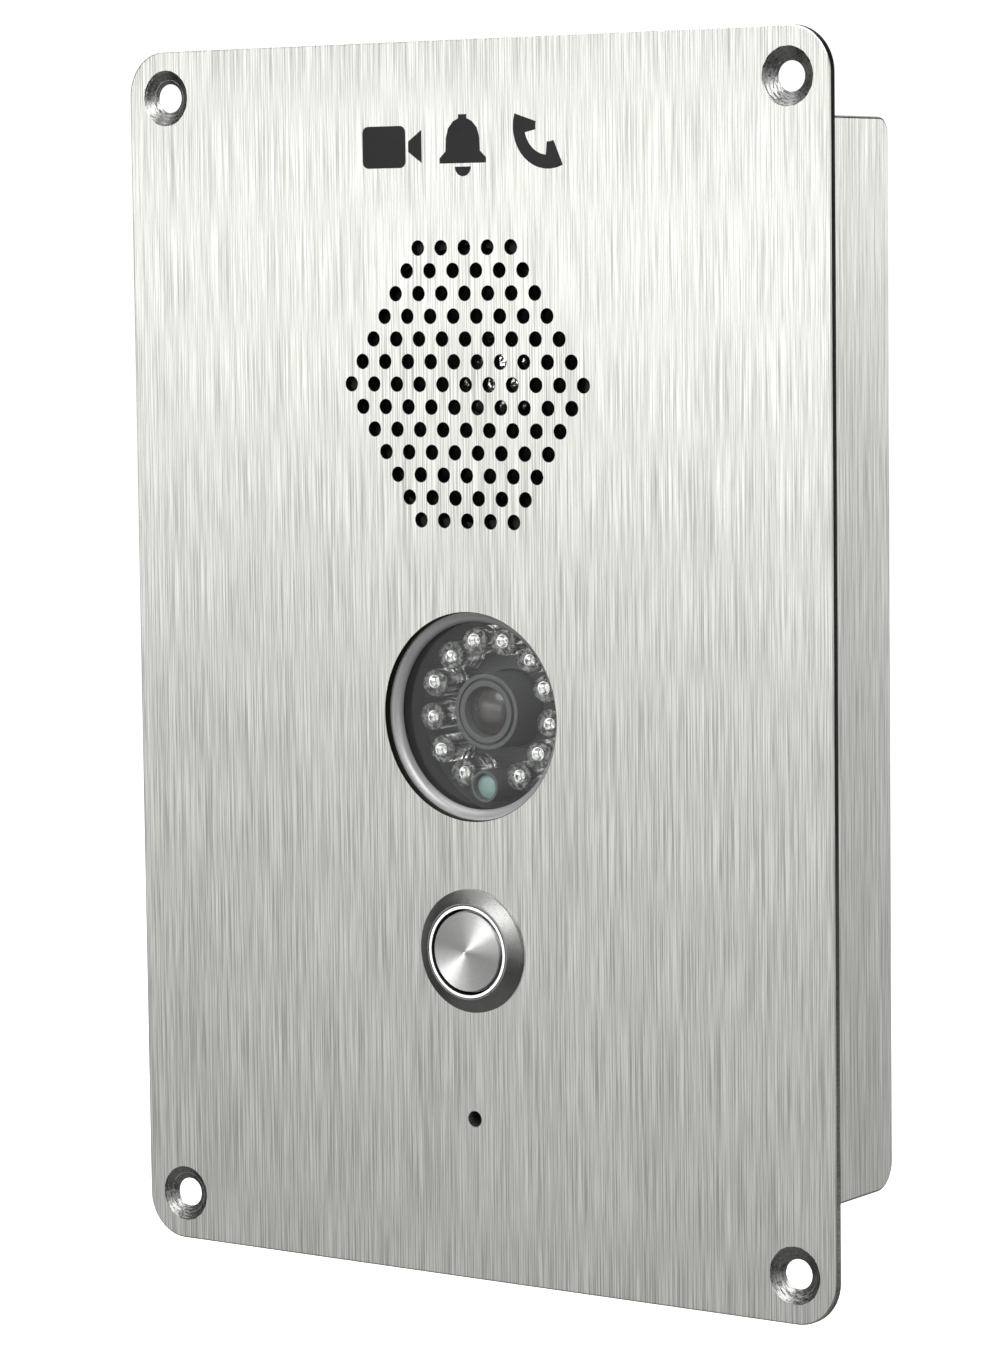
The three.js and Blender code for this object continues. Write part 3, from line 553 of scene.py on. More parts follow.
lens_grey = grained("lens_grey", (0.16, 0.165, 0.165), 0.1, 0.42, 0.3, 0.008, mottle=0.08)
lens_dark = lens_coating()
diffuser = grained("white_diffuser", (0.93, 0.94, 0.92), 0.0, 0.35, 0.6, 0.004, mottle=0.02,
                   Emission_Color=(1, 1, 0.99, 1), Emission_Strength=0.45)
cone_paper = grained("cone_paper", (0.012, 0.012, 0.012), 0.0, 0.9, 0.5, 0.05, mottle=0.3)
foil = cap_foil()
frame_metal = lead_frame()
bright_cap = grained("polished_cap", (0.8, 0.8, 0.79), 1.0, 0.2, 0.5, 0.01, mottle=0.05)
ferrite = grained("ferrite", (0.03, 0.03, 0.032), 0.0, 0.7, 0.4, 0.05, mottle=0.25)
copper = grained("copper", (0.62, 0.27, 0.12), 1.0, 0.35, 0.3, 0.03, mottle=0.2)
blue_plastic = grained("blue_plastic", (0.02, 0.09, 0.36), 0.0, 0.35, 0.5, 0.01)
green_plastic = grained("green_plastic", (0.03, 0.26, 0.08), 0.0, 0.4, 0.5, 0.01)
lead_jacket = grained("lead_jacket", (0.02, 0.02, 0.02), 0.0, 0.5, 0.6, 0.02, mottle=0.2)
print_black = grained("black_print", (0.008, 0.008, 0.008), 0.0, 0.5, 0.25, 0.004, mottle=0.3)
chip_silicon = grained("chip", (0.75, 0.76, 0.74), 0.9, 0.25, 0.2, 0.01)


# ---- front plate ----

SKIN, CUT, SINK, WELDED = range(4)
CHATTER_SEED = 7


def grille_places():
    middle = (GRILLE["rows"] - 1) / 2
    for row in range(GRILLE["rows"]):
        count = int(GRILLE["longest"] - abs(row - middle))
        for k in range(count):
            x = (k - (count - 1) / 2) * GRILLE["pitch"]
            yield x, GRILLE["z"] + (middle - row) * GRILLE["row_pitch"]


def stud_places():
    """Four studs round the speaker, and one for each ear of the camera's cup."""
    for angle in (45, 135, 225, 315):
        yield polar(STUD["ring"], angle, 0, GRILLE["z"])
    for side in (1, -1):
        yield side * STUD["ear"], OPENING["z"]


def plain_bore(radius, ease=0.08):
    """A hole straight through the sheet, with both of its rims eased."""
    return [(radius + ease, FACE), (radius + ease * 0.3, FACE + ease * 0.4), (radius, FACE + ease * 1.4),
            (radius, -ease), (radius + ease * 0.6, 0)]


def countersink_bore(chatter):
    """The cone's profile, with the small steps that a drill leaves."""
    ease, start, ridge_size, steps = 0.05, 0.03, 0.035, 22
    sink, hole = FIXING["sink"], FIXING["radius"]
    depth = (sink - hole) / math.tan(math.radians(FIXING["half_angle"]))
    points = [(sink + ease, FACE)]
    for k in range(steps + 1):
        share = k / steps
        ridge = chatter.uniform(-ridge_size, ridge_size) if 0 < k < steps else 0
        points.append((sink - share * (sink - hole), FACE + start + share * depth + ridge))
    return [*points, (hole, -ease), (hole + ease, 0)]


def drill_wave(chatter):
    """A slight waviness round a countersink's cone, as a function of angle and depth."""
    lobes = []
    for _ in range(4):
        lobes.append((chatter.randint(7, 23), chatter.uniform(0.008, 0.03), chatter.uniform(0, 6.28)))
    cone_end = FACE + 1.4
    twist = 1.5

    def wave(angle, depth):
        if depth > cone_end:
            return 0
        return sum(size * math.sin(n * (angle + depth * twist) + phase) for n, size, phase in lobes)

    return wave


def bore(shape, profile, sides, x, z, look, wave=None):
    """A hole through the plate, from a list of (radius, depth). Returns its front and back rings."""
    rings = []
    for radius, depth in profile:
        points = []
        for k in range(sides):
            angle = 2 * math.pi * k / sides
            r = radius + (wave(angle, depth) if wave else 0)
            points.append((x + r * math.cos(angle), z + r * math.sin(angle)))
        rings.append(shape.loop(points, depth))
    shape.chain(rings, look)
    return rings[0], rings[-1]


def plate_holes(shape):
    """Every hole's front and back rings."""
    holes = [bore(shape, plain_bore(GRILLE["radius"]), 28, x, z, CUT) for x, z in grille_places()]
    holes.append(bore(shape, plain_bore(OPENING["radius"], 0.14), 168, 0, OPENING["z"], CUT))
    holes.append(bore(shape, plain_bore(HEAD["hole"]), 72, 0, BUTTON_Z, CUT))
    holes.append(bore(shape, plain_bore(MIC["radius"]), 36, 0, MIC["z"], CUT))
    chatter = random.Random(CHATTER_SEED)
    for sx in (-1, 1):
        for sz in (-1, 1):
            wave = drill_wave(chatter)
            profile = countersink_bore(chatter)
            holes.append(bore(shape, profile, 72, sx * FIXING["x"], sz * FIXING["z"], SINK, wave))
    return holes


def plate_rim(shape):
    """The plate's eased edge. Returns its front and back rings."""
    insets = [(0.30, FACE), (0.12, FACE + 0.05), (0.03, FACE + 0.16), (0, FACE + 0.32),
              (0, -0.22), (0.06, -0.08), (0.2, 0)]
    rings = []
    for inset, depth in insets:
        width, height = PLATE["width"] - 2 * inset, PLATE["height"] - 2 * inset
        rings.append(shape.loop(rounded_rectangle(width, height, PLATE["corner"] - inset), depth))
    shape.chain(rings[:3], SKIN)
    shape.chain(rings[2:], CUT)
    return rings[0], rings[-1]


def weld_stud(shape, x, z):
    """A stud on the plate's back. Returns the ring at its foot."""
    radius, end, ease = STUD["radius"], STUD["end"], STUD["ease"]
    rings = [shape.loop(circle(x, z, r, 24), depth)
             for r, depth in ((radius, 0), (radius, end - ease), (radius - ease, end))]
    shape.chain([*rings, shape.ring([(x, end, z)])], WELDED)
    return rings[0]


def front_plate():
    shape = Shape()
    rim_front, rim_back = plate_rim(shape)
    holes = plate_holes(shape)
    feet = [weld_stud(shape, x, z) for x, z in stud_places()]
    shape.fill(rim_front, [front for front, _ in holes])
    shape.fill(rim_back, [back for _, back in holes] + feet)
    looks = [look.material for look in (steel, edge_steel, sink_steel, zinc)]
    piece = shape.make("plate_sheet", looks, uv="wall")
    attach(piece, "chassis")
    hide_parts("front_plate")


front_plate()


# ---- printed signs ----

def sign(name, outlines, x):
    """A flat printed sign on the plate's face, from outlines around the sign's own middle."""
    shape = Shape()
    for outline in outlines:
        points = [(x + px, SIGN["z"] + pz) for px, pz in outline]
        shape.slab(points, [], FACE - SIGN["proud"], FACE + SIGN["sunk"])
    piece = shape.make(name, [print_black.material])
    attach(piece, "chassis")


def camera_sign():
    body = [(px - 1.6, pz) for px, pz in rounded_rectangle(9.4, 7.4, 1.2, 5)]
    lens = [(3.7, -0.9), (3.7, 0.9), (6.6, 2.9), (6.6, -2.9)]
    return [body, lens]


def bell_sign():
    left = [(-5, -3.1), (-5, -2.2), (-3.7, -1), (-3.6, 1.2), (-3.1, 3), (-2, 4.2), (-0.9, 4.7), (-0.9, 5.4)]
    body = left + [(-px, pz) for px, pz in left[::-1]]
    clapper = arc(0, -3.7, 1.7, 180, 360, 12)
    return [body, clapper]


def handset_sign():
    """A curved handle between two thicker ends, leaning to the left."""
    outer, inner, cup, span, end = 7.4, 5.0, 2.7, 66, 30
    down, lift, lean = 270, 4.0, math.radians(-42)
    left, right = down - span, down + span
    points = arc(0, 0, outer, left, right, 24)
    points += arc(0, 0, cup, right, right - end, 5)
    points += arc(0, 0, inner, right - end, left + end, 16)
    points += arc(0, 0, cup, left + end, left, 5)
    turned_points = []
    for px, pz in points:
        raised = pz + lift
        turned_points.append((px * math.cos(lean) - raised * math.sin(lean),
                              px * math.sin(lean) + raised * math.cos(lean)))
    return [turned_points]


sign("sign_camera", camera_sign(), -SIGN["pitch"])
sign("sign_bell", bell_sign(), 0)
sign("sign_handset", handset_sign(), SIGN["pitch"])


# ---- back box ----

def box_path(inset):
    """The box's section from its bottom lip, round the back, to its top lip, as (y, z)."""
    top = BOX["height"] / 2
    high, low = BOX["bend"], BOX["low_bend"]
    return [(BOX["front"], inset - top),
            *arc(BOX["back"] - low, low - top, low - inset, -90, 0, 8),
            *arc(BOX["back"] - high, top - high, high - inset, 0, 90, 8),
            (BOX["front"], top - inset)]


def wall_holes(shape, level):
    """Rings for a wall's screw holes and, in the bottom wall, its cable hole. The level is their Z."""
    clearance = 0.25
    places = [(side * SCREW["x"], SCREW["y"], SCREW["radius"] + clearance, 24) for side in (-1, 1)]
    if level < 0:
        places.append((0, GROMMET["y"], GROMMET["hole"], 64))
    rings = []
    for x, y, radius, sides in places:
        rings.append(shape.ring([(px, py, level) for px, py in circle(x, y, radius, sides)]))
    return rings


def box_skin(shape, rings, holes):
    """The skin over a row of sections. Its flat bottom and top walls, -1 and 1, have holes."""
    last = len(rings[0]) - 1
    middle = len(rings) // 2 - 1
    for k, (a, b) in enumerate(zip(rings, rings[1:])):
        for i in range(last):
            if k == middle and i in (0, last - 1):
                continue
            shape.face((a[i], b[i], b[i + 1], a[i + 1]))
    a, b = rings[middle], rings[middle + 1]
    for i, found in ((0, holes[-1]), (last - 1, holes[1])):
        shape.fill([a[i], b[i], b[i + 1], a[i + 1]], found, along=2)


def back_box():
    shape = Shape()
    half, top, wall = BOX["width"] / 2, BOX["height"] / 2, BOX["wall"]
    ease = [(half, 0.45), (half - 0.06, 0.22), (half - 0.2, 0.07), (half - 0.45, 0)]
    stations = [(-x, inset) for x, inset in ease] + [(x, inset) for x, inset in ease[::-1]]
    outer = [shape.ring([(x, y, z) for y, z in box_path(inset)]) for x, inset in stations]
    inner = [shape.ring([(x, y, z) for y, z in box_path(wall)]) for x in (wall - half, half - wall)]
    outside = {side: wall_holes(shape, side * top) for side in (-1, 1)}
    inside = {side: wall_holes(shape, side * (top - wall)) for side in (-1, 1)}
    box_skin(shape, outer, outside)
    for side in (-1, 1):
        for a, b in zip(outside[side], inside[side]):
            shape.bridge(a, b, CUT)
    for ring in (outer[0], outer[-1], inner[0], inner[1]):
        shape.fill(ring, [], along=0)
    rim_outer = [r[0] for r in outer] + [r[-1] for r in outer[::-1]]
    rim_inner = [inner[0][0], inner[1][0], inner[1][-1], inner[0][-1]]
    shape.fill(rim_outer, [rim_inner], look=CUT)
    box_skin(shape, inner, inside)
    piece = shape.make("box_shell", [steel.material, edge_steel.material], uv="wall")
    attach(piece, "chassis")
    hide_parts("back_box")


def standoffs():
    """Four pillars welded to the box's back wall, which hold the main board."""
    board_front = BOARD["front"]
    board_back = board_front + BOARD["thick"]
    wall = BOX["back"] - BOX["wall"]
    stud, radius, ease = STANDOFF["stud"], STANDOFF["radius"], 0.3
    tip = board_front - STANDOFF["stud_length"]
    x = BOARD["width"] / 2 - STANDOFF["inset"]
    z = BOARD["height"] / 2 - STANDOFF["inset"]
    profile = rounded([(0, tip), (stud, tip, ease), (stud, board_back), (radius, board_back, ease),
                       (radius, wall), (0, wall)])
    for k, (sx, sz) in enumerate(((-1, -1), (-1, 1), (1, -1), (1, 1))):
        shape = Shape()
        shape.lathe(profile, 24, sx * x, BOARD["z"] + sz * z)
        piece = shape.make(f"standoff_{k + 1}", [zinc.material])
        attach(piece, "chassis")


def screw_profile():
    """A pan head and a threaded shank, from the head's flat top to the shank's end."""
    head, tall, radius, length = SCREW["head"], SCREW["tall"], SCREW["radius"], SCREW["length"]
    under_head, thread_depth, crest, chamfer = 0.3, 0.22, 0.31, 0.5
    profile = rounded([(head * 0.7, -tall), (head, -tall * 0.55, 0.35), (head, 0, 0.12), (radius, 0)])
    pitch = (length - under_head - chamfer) / SCREW["turns"]
    for k in range(SCREW["turns"]):
        start = under_head + k * pitch
        profile += [(radius - thread_depth, start), (radius, start + crest)]
    return [*profile, (radius - chamfer, length), (0, length)]


def box_screws():
    """Pan-head screws with a hexagonal socket, through the box's top and bottom walls into the brackets."""
    outside = BOX["height"] / 2 + TOUCH
    places = [(side, x) for side in (1, -1) for x in (-SCREW["x"], SCREW["x"])]
    for number, (side, x) in enumerate(places, start=1):
        shape = Shape()
        made = shape.lathe(screw_profile(), 36)
        hexagon = circle(0, 0, SCREW["socket"], 6)
        mouth = shape.loop(hexagon, -SCREW["tall"])
        floor = shape.loop(hexagon, -SCREW["tall"] * 0.4)
        shape.fill(made[0], [mouth])
        shape.bridge(mouth, floor)
        shape.fill(floor, [])
        piece = shape.make(f"screw_{number}", [satin.material])
        turn = Matrix.Rotation(-side * math.pi / 2, 4, "X")
        piece.matrix_world = Matrix.Translation(Vector((x, SCREW["y"], side * outside)) * MM) @ turn
        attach(piece, "chassis")
        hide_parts(f"box_screw_{number}")


def cable_grommet():
    """A rubber grommet with a domed membrane. Its depths are measured up from the bottom wall's face."""
    shape = Shape()
    neck, flange, lip = GROMMET["hole"] - 0.1, GROMMET["flange"], GROMMET["lip"]
    bore_radius, wall = neck - 2, BOX["wall"] + TOUCH
    membrane = [(0, -0.55), (2.2, -0.75), (bore_radius - 0.3, -1.0, 0.5), (bore_radius, -lip, 0.25)]
    outer_lip = [(flange - 0.6, -lip, 0.4), (flange, -TOUCH, 0.3), (neck, -TOUCH), (neck, wall)]
    inner_lip = [(flange - 1, wall, 0.3), (neck - 0.5, wall + 2.2, 0.3), (bore_radius, wall + 2.2)]
    shape.lathe(rounded([*membrane, *outer_lip, *inner_lip, (bore_radius, 0), (0, 0)]), 72)
    piece = shape.make("grommet", [rubber.material])
    turn = Matrix.Rotation(math.pi / 2, 4, "X")
    piece.matrix_world = Matrix.Translation(Vector((0, GROMMET["y"], -BOX["height"] / 2)) * MM) @ turn
    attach(piece, "chassis")
    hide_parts("cable_grommet")


back_box()
standoffs()
box_screws()
cable_grommet()


# ---- camera window ----

def turned(name, profile, sides, look, replaced, x=0.0, z=0.0, body="chassis", uv=None):
    """One turned piece that stands for one CAD node."""
    shape = Shape()
    shape.lathe(profile, sides, x, z)
    piece = shape.make(name, [look.material], uv=uv, centre=(x, 0, z))
    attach(piece, body)
    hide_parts(replaced)


def bead():
    """The window ring: a smooth quarter round from the plate's opening down to the clear window."""
    opening, sight, front, flange = OPENING["radius"], WINDOW["sight"], WINDOW["front"], WINDOW["flange"]
    steps = 12
    points = []
    for k in range(1, steps + 1):
        angle = math.pi / 2 * k / steps
        points.append((opening - (opening - sight) * math.cos(angle), front * (1 - math.sin(angle))))
    return [(sight + 0.6, front), (sight + 0.06, front), *points, (flange, 0), (flange, front)]


def pane():
    radius, front, back, ease = WINDOW["radius"], WINDOW["front"], WINDOW["back"], 0.2
    return [(0, front), (radius - ease, front), (radius, front + ease), (radius, back - ease),
            (radius - ease, back), (0, back)]


turned("ring_bead", bead(), 168, ring_grey, "window_ring", z=OPENING["z"])
turned("window_pane", pane(), 96, window_glass, "camera_window", z=OPENING["z"])


def camera_housing():
    """The cup behind the window, with a ledge for the diode board and an ear at each side."""
    shape = Shape()
    z, front = OPENING["z"], WINDOW["front"]
    radius, seat, wall, ledge = HOUSING["radius"], HOUSING["seat"], HOUSING["wall"], HOUSING["ledge"]
    back, lead_hole, ease, fillet = HOUSING["back"], HOUSING["lead_hole"], 0.3, 0.2
    floor = back - HOUSING["floor"]
    pane_back, board_back = WINDOW["back"] + TOUCH, DIODE_BOARD["back"] + TOUCH
    shape.lathe([(seat, front), (radius, front), (radius, back - ease), (radius - ease, back),
                 (lead_hole, back), (lead_hole, floor), (ledge - fillet, floor), (ledge, floor - fillet),
                 (ledge, board_back), (wall, board_back), (wall, pane_back), (seat, pane_back)], 120, 0, z)
    for side, start, end in ((-1, 240, 120), (1, -60, 60)):
        root, x = side * EAR["root_x"], side * EAR["x"]
        rim = arc(x, z, EAR["radius"], start, end, 14)
        outline = [(root, z - EAR["root"]), *rim, (root, z + EAR["root"])]
        shape.slab(outline, [circle(x, z, EAR["hole"], 24)], front, front + EAR["thick"])
    piece = shape.make("camera_cup", [housing_plastic.material])
    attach(piece, "chassis")
    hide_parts("camera_housing")


def led_board():
    shape = Shape()
    edge = circle(0, OPENING["z"], DIODE_BOARD["radius"], 96)
    hole = circle(0, MODULE_Z, DIODE_BOARD["hole"], 64)
    shape.slab(edge, [hole], DIODE_BOARD["front"], DIODE_BOARD["back"])
    piece = shape.make("diode_board", [dark_board.material])
    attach(piece, "chassis")
    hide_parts("led_board")


camera_housing()
led_board()


# ---- diodes and lens ----

def diode_body():
    """A clear 5 mm diode: its dome, its cylinder and the flange at its base."""
    radius, tip, base = LED["radius"], LED["tip"], LED["base"]
    flange_front = base - 1
    dome = [(0, tip)]
    for degrees in range(9, 91, 9):
        angle = math.radians(degrees)
        dome.append((radius * math.sin(angle), tip + radius - radius * math.cos(angle)))
    flange = rounded([(radius, flange_front), (LED["flange"], flange_front, 0.2),
                      (LED["flange"], base, 0.1)])
    shape = Shape()
    shape.lathe([*dome, *flange, (0, base)], 40)
    return shape


def diode_frame():
    """What shows inside a diode: a bright cup with its die, a stamped collar and a second post."""
    shape = Shape()
    base, cup = LED["base"] - 0.2, LED["tip"] + 2.2
    cup_x, post_x = -0.2, 1.6
    shape.lathe([(0, cup + 0.6), (0.3, cup + 0.6), (0.72, cup), (0.85, cup), (0.85, cup + 0.9),
                 (0.6, cup + 1.5), (0.42, base), (0, base)], 24, cup_x)
    shape.lathe([(0, cup + 0.45), (0.2, cup + 0.45), (0.2, cup + 0.58), (0, cup + 0.58)], 4, cup_x, look=1)
    shape.lathe([(0.88, cup + 0.3), (1.9, cup + 0.55), (1.9, cup + 0.65), (0.88, cup + 0.5)], 24, cup_x,
                look=2)
    shape.lathe([(0, cup + 0.75), (0.45, cup + 0.75), (0.5, cup + 1.4), (0.4, base), (0, base)], 12, post_x)
    return shape


def diodes():
    """The ring's diodes, clockwise from the place at the bottom that is left for the light sensor."""
    turn = random.Random(11)
    shell = inside = None
    for number in range(1, LED["places"]):
        x, z = polar(LED["ring"], -90 - 360 / LED["places"] * number, 0, MODULE_Z)
        if shell is None:
            shell = diode_body().make("diode_01", [epoxy.material])
            frame_looks = [bright_cap.material, chip_silicon.material, frame_metal.material]
            inside = diode_frame().make("diode_frame_01", frame_looks)
        else:
            shell = add_object(f"diode_{number:02d}", shell.data)
            inside = add_object(f"diode_frame_{number:02d}", inside.data)
        spin = Matrix.Rotation(turn.uniform(0, 2 * math.pi), 4, "Y")
        lean = Matrix.Rotation(turn.uniform(-0.02, 0.02), 4, "X")
        place = Matrix.Translation(Vector((x, 0, z)) * MM)
        shell.matrix_world = place @ spin
        inside.matrix_world = place @ spin @ lean
        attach(shell, "chassis")
        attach(inside, "chassis")
        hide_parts(f"ir_led_{number:02d}")


diodes()


def sensor_face():
    """The light sensor's face, a little crowned."""
    radius, face, back = EYE["radius"], EYE["face"], LED["base"] - TOUCH
    crown = [(0, face), (0.9, face + 0.02), (1.7, face + 0.1), (radius, face + 0.3)]
    return [*crown, (radius, back), (0, back)]


def sensor_sleeve():
    inner, outer, front, back, lip = EYE["radius"] + 0.1, EYE["sleeve"], EYE["front"], LED["base"], 0.15
    return rounded([(inner, front, lip), (outer, front, lip), (outer, back), (inner, back)])


def lens_mount():
    """The lens barrel, with a groove round its face and a flange at its back."""
    front, step, barrel = LENS["front"], LENS["step"], LENS["barrel"]
    groove_inner, groove_outer = LENS["groove"]
    groove_floor = LENS["groove_floor"]
    seat, seat_back = LENS["glass"] + 0.1, LENS["glass_back"] + 0.1
    face = [(LENS["bore"], front, 0.1), (groove_inner, front, 0.12), (groove_inner, groove_floor),
            (groove_outer, groove_floor), (groove_outer, step, 0.1), (barrel, step, 0.15)]
    flange = [(barrel, LENS["flange_front"]), (LENS["flange"], LENS["flange_front"]),
              (LENS["flange"], LENS["back"]), (LENS["rear_bore"], LENS["back"])]
    glass_seat = [(LENS["rear_bore"], seat_back), (seat, seat_back), (seat, front + 1.3)]
    return rounded([*face, *flange, *glass_seat], 3)


def lens_front():
    """The front lens, crowned towards its middle."""
    radius, back = LENS["glass"], LENS["glass_back"]
    return [(0, 3.9), (1, 3.93), (2, 4.05), (3, 4.3), (3.9, 4.65), (radius, 4.8), (radius, back), (0, back)]


eye_x, eye_z = polar(EYE["ring"], EYE["angle"], 0, MODULE_Z)
turned("eye_face", sensor_face(), 48, eye_face, "light_sensor", eye_x, eye_z)
turned("eye_sleeve", sensor_sleeve(), 48, lens_grey, "light_sensor_tube", eye_x, eye_z)
turned("lens_mount", lens_mount(), 112, lens_grey, "lens_barrel", 0, MODULE_Z)
turned("lens_front", lens_front(), 72, lens_dark, "lens_glass", 0, MODULE_Z)


# ---- speaker front ----

def dust_cap():
    """A thin domed shell, from its front's middle over its edge to the middle of its inside."""
    edge, front = CAP_EDGE["radius"], CAP_EDGE["front"]
    outside = [(0, 4.2), (1.6, 4.24), (3.4, 4.42), (5, 4.82), (6.4, 5.38), (7.4, 5.95), (edge, front)]
    inside = [(edge, front + 0.4), (7.3, 6.4), (5, 5.2), (2.5, 4.7), (0, 4.6)]
    return [*outside, *inside]


def cone_sheet():
    """A paper cone that deepens towards the voice coil, from its edge in and back again."""
    edge, front, neck, neck_front = CONE["edge"], CONE["front"], CONE["neck"], CONE["neck_front"]
    back = [(edge, front), (edge, front + 0.5), (16, 4.6), (12, 6.1), (neck, neck_front + 0.65)]
    return [*back, (neck, neck_front), (12, 5.5), (16, 4.0)]


turned("cone_cap", dust_cap(), 72, foil, "speaker_dust_cap", z=GRILLE["z"],
       body="speaker_diaphragm")
turned("cone_sheet", cone_sheet(), 96, cone_paper, "speaker_cone", z=GRILLE["z"],
       body="speaker_diaphragm")


# ---- call button ----

def button_bezel():
    """The sloping head in front of the plate, and the barrel that goes through it."""
    bore_radius, radius, foot = HEAD["bore"], HEAD["radius"], HEAD["foot"]
    rim, recess = FACE - HEAD["rim"], FACE - HEAD["recess"]
    web_front, web_back = BARREL["web"]
    head = [(bore_radius, BUTTON_TOP, 0.06), (HEAD["flat"], BUTTON_TOP, 0.2), (radius, rim, 0.12),
            (radius, FACE), (foot, FACE), (foot, recess)]
    barrel = [(BARREL["radius"], recess), (BARREL["radius"], BARREL["back"], 0.3),
              (BARREL["bore"], BARREL["back"]), (BARREL["bore"], web_back)]
    inside = [(BARREL["stem_hole"], web_back), (BARREL["stem_hole"], web_front),
              (BARREL["spring_room"], web_front), (BARREL["spring_room"], BARREL["ring_seat"]),
              (bore_radius, BARREL["ring_seat"])]
    return rounded([*head, *barrel, *inside])


def light_ring():
    """A white ring whose walls are masked, so that only its face glows."""
    shape = Shape()
    front = BUTTON_TOP + TOUCH
    inner, outer, back, ease = LIGHT["inner"], LIGHT["outer"], LIGHT["back"], LIGHT["ease"]
    masked, face_band = 1, 2
    rings = shape.lathe([(inner, back), (inner, front + ease), (inner + ease, front), (outer - ease, front),
                         (outer, front + ease), (outer, back)], 128, 0, BUTTON_Z, look=masked)
    sides = len(rings[0])
    for k in range(sides):
        shape.looks[face_band * sides + k] = 0
    piece = shape.make("light_ring", [diffuser.material, rubber.material])
    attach(piece, "chassis")
    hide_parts("button_light_ring")


def cap_disc():
    """The cap, from the middle of its spun face to the end of its stem, with a groove for the clip."""
    face, skirt, stem, end = CAP["face"], CAP["skirt"], CAP["stem"], CAP["end"]
    groove_front, groove_back = CAP["clip_groove"]
    under = BUTTON_TOP + CAP["thick"]
    flat = [(r / 2, BUTTON_TOP) for r in range(15)]
    edge = [(face - 0.12, BUTTON_TOP), (face - 0.02, BUTTON_TOP + 0.08), (face, BUTTON_TOP + 0.16),
            (face, BUTTON_TOP + CAP["skirt_front"] - TOUCH), (skirt, BUTTON_TOP + CAP["skirt_front"])]
    neck = [(skirt, under), (stem, under), (stem, groove_front), (CAP["clip"], groove_front),
            (CAP["clip"], groove_back), (stem, groove_back)]
    return [*flat, *edge, *neck, (stem, end - 0.2), (stem - 0.2, end), (0, end)]


turned("button_bezel", button_bezel(), 144, shaded_bezel_steel, "button_body", z=BUTTON_Z)
light_ring()
turned("cap_disc", cap_disc(), 144, cap_steel, "button_cap", z=BUTTON_Z, body="call_button",
       uv="round")


# ---- CAD nodes kept ----

by_slot = {look.name: look for look in (
    steel, satin, cap_steel, zinc, rubber, ring_grey, window_glass, epoxy, black_plastic, dark_board,
    green_board, eye_face, lens_grey, lens_dark, diffuser, cone_paper, bright_cap, ferrite, copper,
    blue_plastic, green_plastic, lead_jacket)}
for row in frame["record"]["subparts"]:
    node = frame["nodes"][row["node"]]
    node.data.materials.clear()
    node.data.materials.append(by_slot[row["material_slot"]].material)

# ---- studio ----

CAMERA_AT = (0.47754, -0.66938, 0.07342)
CAMERA_FORWARD = (-0.5738, 0.8138, -0.0916)
CAMERA_UP = (-0.0428, 0.0818, 0.9957)
CAMERA_LENS = 123.9
CAMERA_FILM = 36
FLOOR = {"half": 6, "z": -0.34}
ROOM_LIGHT = 0.05
BACKDROP = 1.05


def studio_camera():
    data = bpy.data.cameras.new("camera")
    data.lens, data.sensor_width, data.sensor_fit = CAMERA_LENS, CAMERA_FILM, "AUTO"
    data.clip_start, data.clip_end = 0.01, 50
    camera = add_object("camera", data)
    forward = Vector(CAMERA_FORWARD).normalized()
    right = forward.cross(Vector(CAMERA_UP)).normalized()
    up = right.cross(forward)
    turn = Matrix((right, up, -forward)).transposed().to_4x4()
    camera.matrix_world = Matrix.Translation(Vector(CAMERA_AT)) @ turn
    bpy.context.scene.camera = camera


def glow(name, stops):
    """An emitting material whose strength runs up the card, as (share of height, strength)."""
    material = bpy.data.materials.new(name)
    material.use_nodes = True
    nodes, links = material.node_tree.nodes, material.node_tree.links
    nodes.remove(nodes["Principled BSDF"])
    emission = nodes.new("ShaderNodeEmission")
    coordinates = nodes.new("ShaderNodeTexCoord")
    split = nodes.new("ShaderNodeSeparateXYZ")
    ramp = nodes.new("ShaderNodeValToRGB")
    elements = ramp.color_ramp.elements
    while len(elements) > 1:
        elements.remove(elements[-1])
    peak = max(strength for _, strength in stops)
    for k, (position, strength) in enumerate(stops):
        element = elements[0] if k == 0 else elements.new(position)
        element.position = position
        element.color = (*[strength / peak] * 3, 1)
    emission.inputs["Strength"].default_value = peak
    links.new(coordinates.outputs["UV"], split.inputs[0])
    links.new(split.outputs["Y"], ramp.inputs["Fac"])
    links.new(ramp.outputs["Color"], emission.inputs["Color"])
    links.new(emission.outputs[0], nodes["Material Output"].inputs["Surface"])
    return material


def card(name, azimuth, elevation, distance, width, height, stops):
    """A glowing studio card that faces the panel. Azimuth turns from the panel's front towards its left."""
    a, e = math.radians(azimuth), math.radians(elevation)
    direction = Vector((-math.sin(a) * math.cos(e), -math.cos(a) * math.cos(e), math.sin(e)))
    mesh = bpy.data.meshes.new(name)
    w, h = width / 2, height / 2
    mesh.from_pydata([(-w, -h, 0), (w, -h, 0), (w, h, 0), (-w, h, 0)], [], [(0, 1, 2, 3)])
    layer = mesh.uv_layers.new(name="height")
    for loop, uv in enumerate(((0, 0), (1, 0), (1, 1), (0, 1))):
        layer.data[loop].uv = uv
    mesh.materials.append(glow(name, stops))
    piece = add_object(name, mesh)
    turn = (-direction).to_track_quat("Z", "Y").to_matrix().to_4x4()
    piece.matrix_world = Matrix.Translation(direction * distance) @ turn
    piece.visible_camera = False


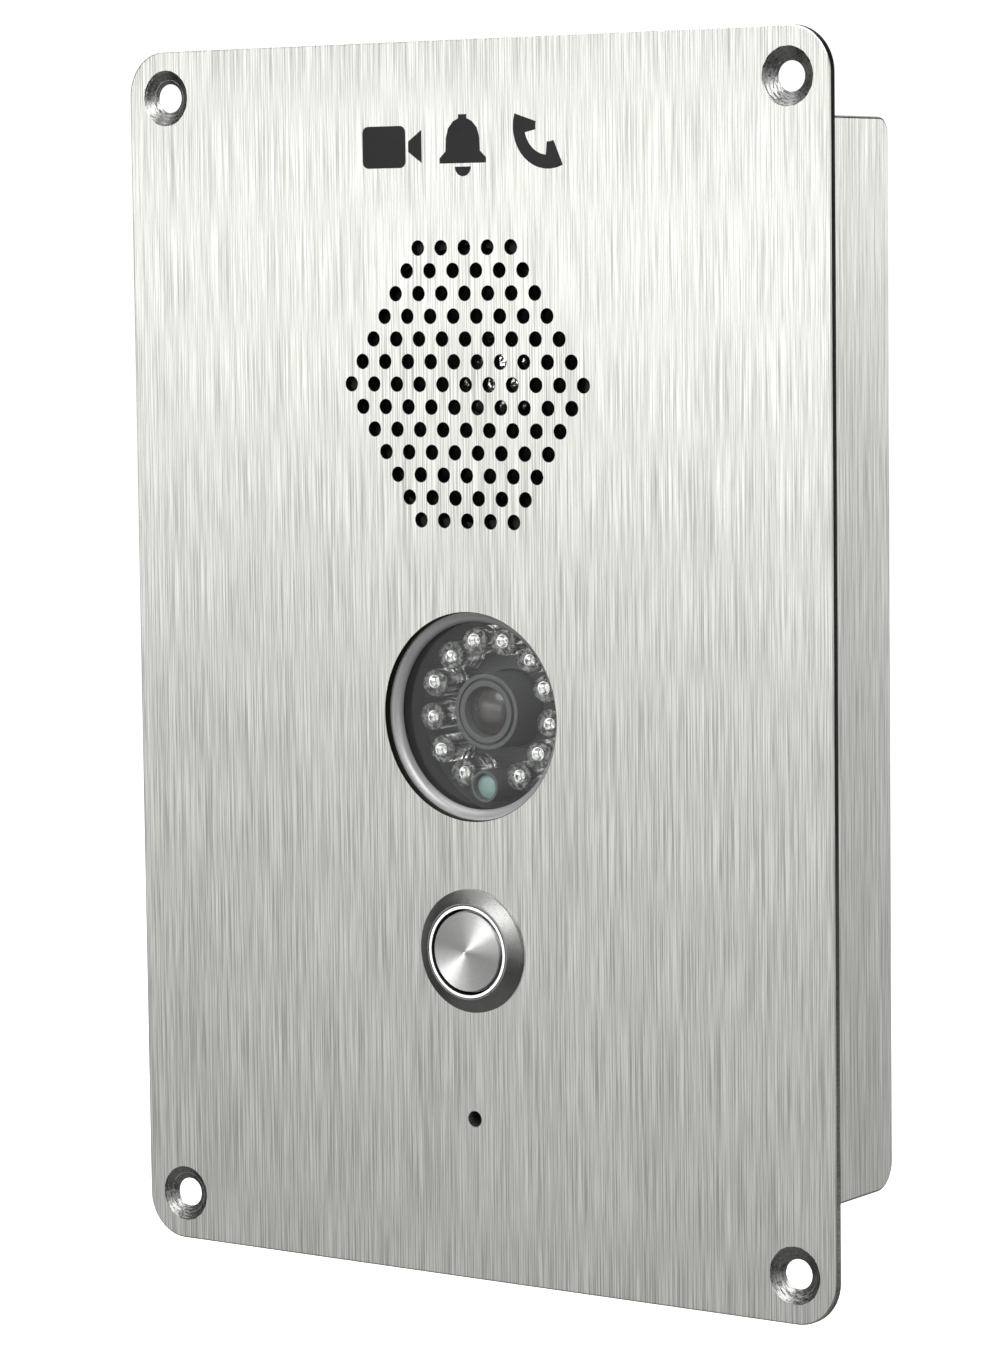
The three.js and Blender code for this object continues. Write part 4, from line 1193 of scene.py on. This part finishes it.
def floor():
    """A white floor that only the camera sees."""
    mesh = bpy.data.meshes.new("floor")
    half, z = FLOOR["half"], FLOOR["z"]
    mesh.from_pydata([(-half, -half, z), (half, -half, z), (half, half, z), (-half, half, z)], [],
                     [(0, 1, 2, 3)])
    look = Look("floor", (0.92, 0.92, 0.92), 0.0, 0.9, Emission_Color=(1, 1, 1, 1), Emission_Strength=1.0)
    mesh.materials.append(look.material)
    piece = add_object("floor", mesh)
    piece.visible_glossy = False
    piece.visible_diffuse = False


def world():
    """Plain white behind the panel, and a dim room for everything that the panel mirrors."""
    made = bpy.data.worlds.new("studio")
    bpy.context.scene.world = made
    made.use_nodes = True
    nodes, links = made.node_tree.nodes, made.node_tree.links
    background = nodes["Background"]
    path = nodes.new("ShaderNodeLightPath")
    background.inputs["Color"].default_value = (1, 1, 1, 1)
    span = nodes.new("ShaderNodeMapRange")
    span.inputs["To Min"].default_value = ROOM_LIGHT
    span.inputs["To Max"].default_value = BACKDROP
    links.new(path.outputs["Is Camera Ray"], span.inputs["Value"])
    links.new(span.outputs["Result"], background.inputs["Strength"])


studio_camera()
world()
floor()
card("card_front", 26, -6.8, 2.0, 1.85, 1.08,
     [(0.0, 0.65), (0.22, 0.73), (0.32, 0.78), (0.43, 0.84), (0.50, 0.92), (0.56, 1.04), (0.62, 1.26),
      (0.68, 1.64), (0.75, 2.08), (0.83, 2.55), (0.9, 2.3), (1.0, 1.7)])
card("card_key", -8, 32, 1.7, 1.4, 0.8, [(0, 5), (1, 5)])
card("card_side", 215, -6.8, 2.0, 1.5, 1.08,
     [(0.0, 0.51), (0.22, 0.56), (0.40, 0.60), (0.56, 0.75), (0.68, 0.91), (0.75, 1.10), (0.83, 1.65),
      (1.0, 2.15)])
card("card_above", 100, 74, 1.8, 1.8, 1.6, [(0, 2.6), (1, 2.6)])
card("card_left", 128, 34, 2.0, 1.2, 0.9, [(0, 2.0), (1, 2.0)])
card("card_brow", 48, 42, 2.0, 1.0, 0.7, [(0, 0.9), (1, 0.9)])
card("card_behind", 175, 40, 2.2, 1.4, 1.0, [(0, 0.7), (1, 1.1)])
card("card_below", 0, -89, 1.2, 3.0, 3.0, [(0, 0.25), (1, 0.25)])
card("card_right", -50, 2, 2.2, 1.9, 1.3, [(0, 0.6), (1, 1.2)])
card("card_far_right", -104, 4, 2.2, 1.3, 1.3, [(0, 0.6), (1, 0.9)])
card("card_back", 177, -8, 2.0, 1.1, 1.0, [(0, 0.7), (1, 1.0)])

bpy.context.scene.view_settings.view_transform = "Standard"
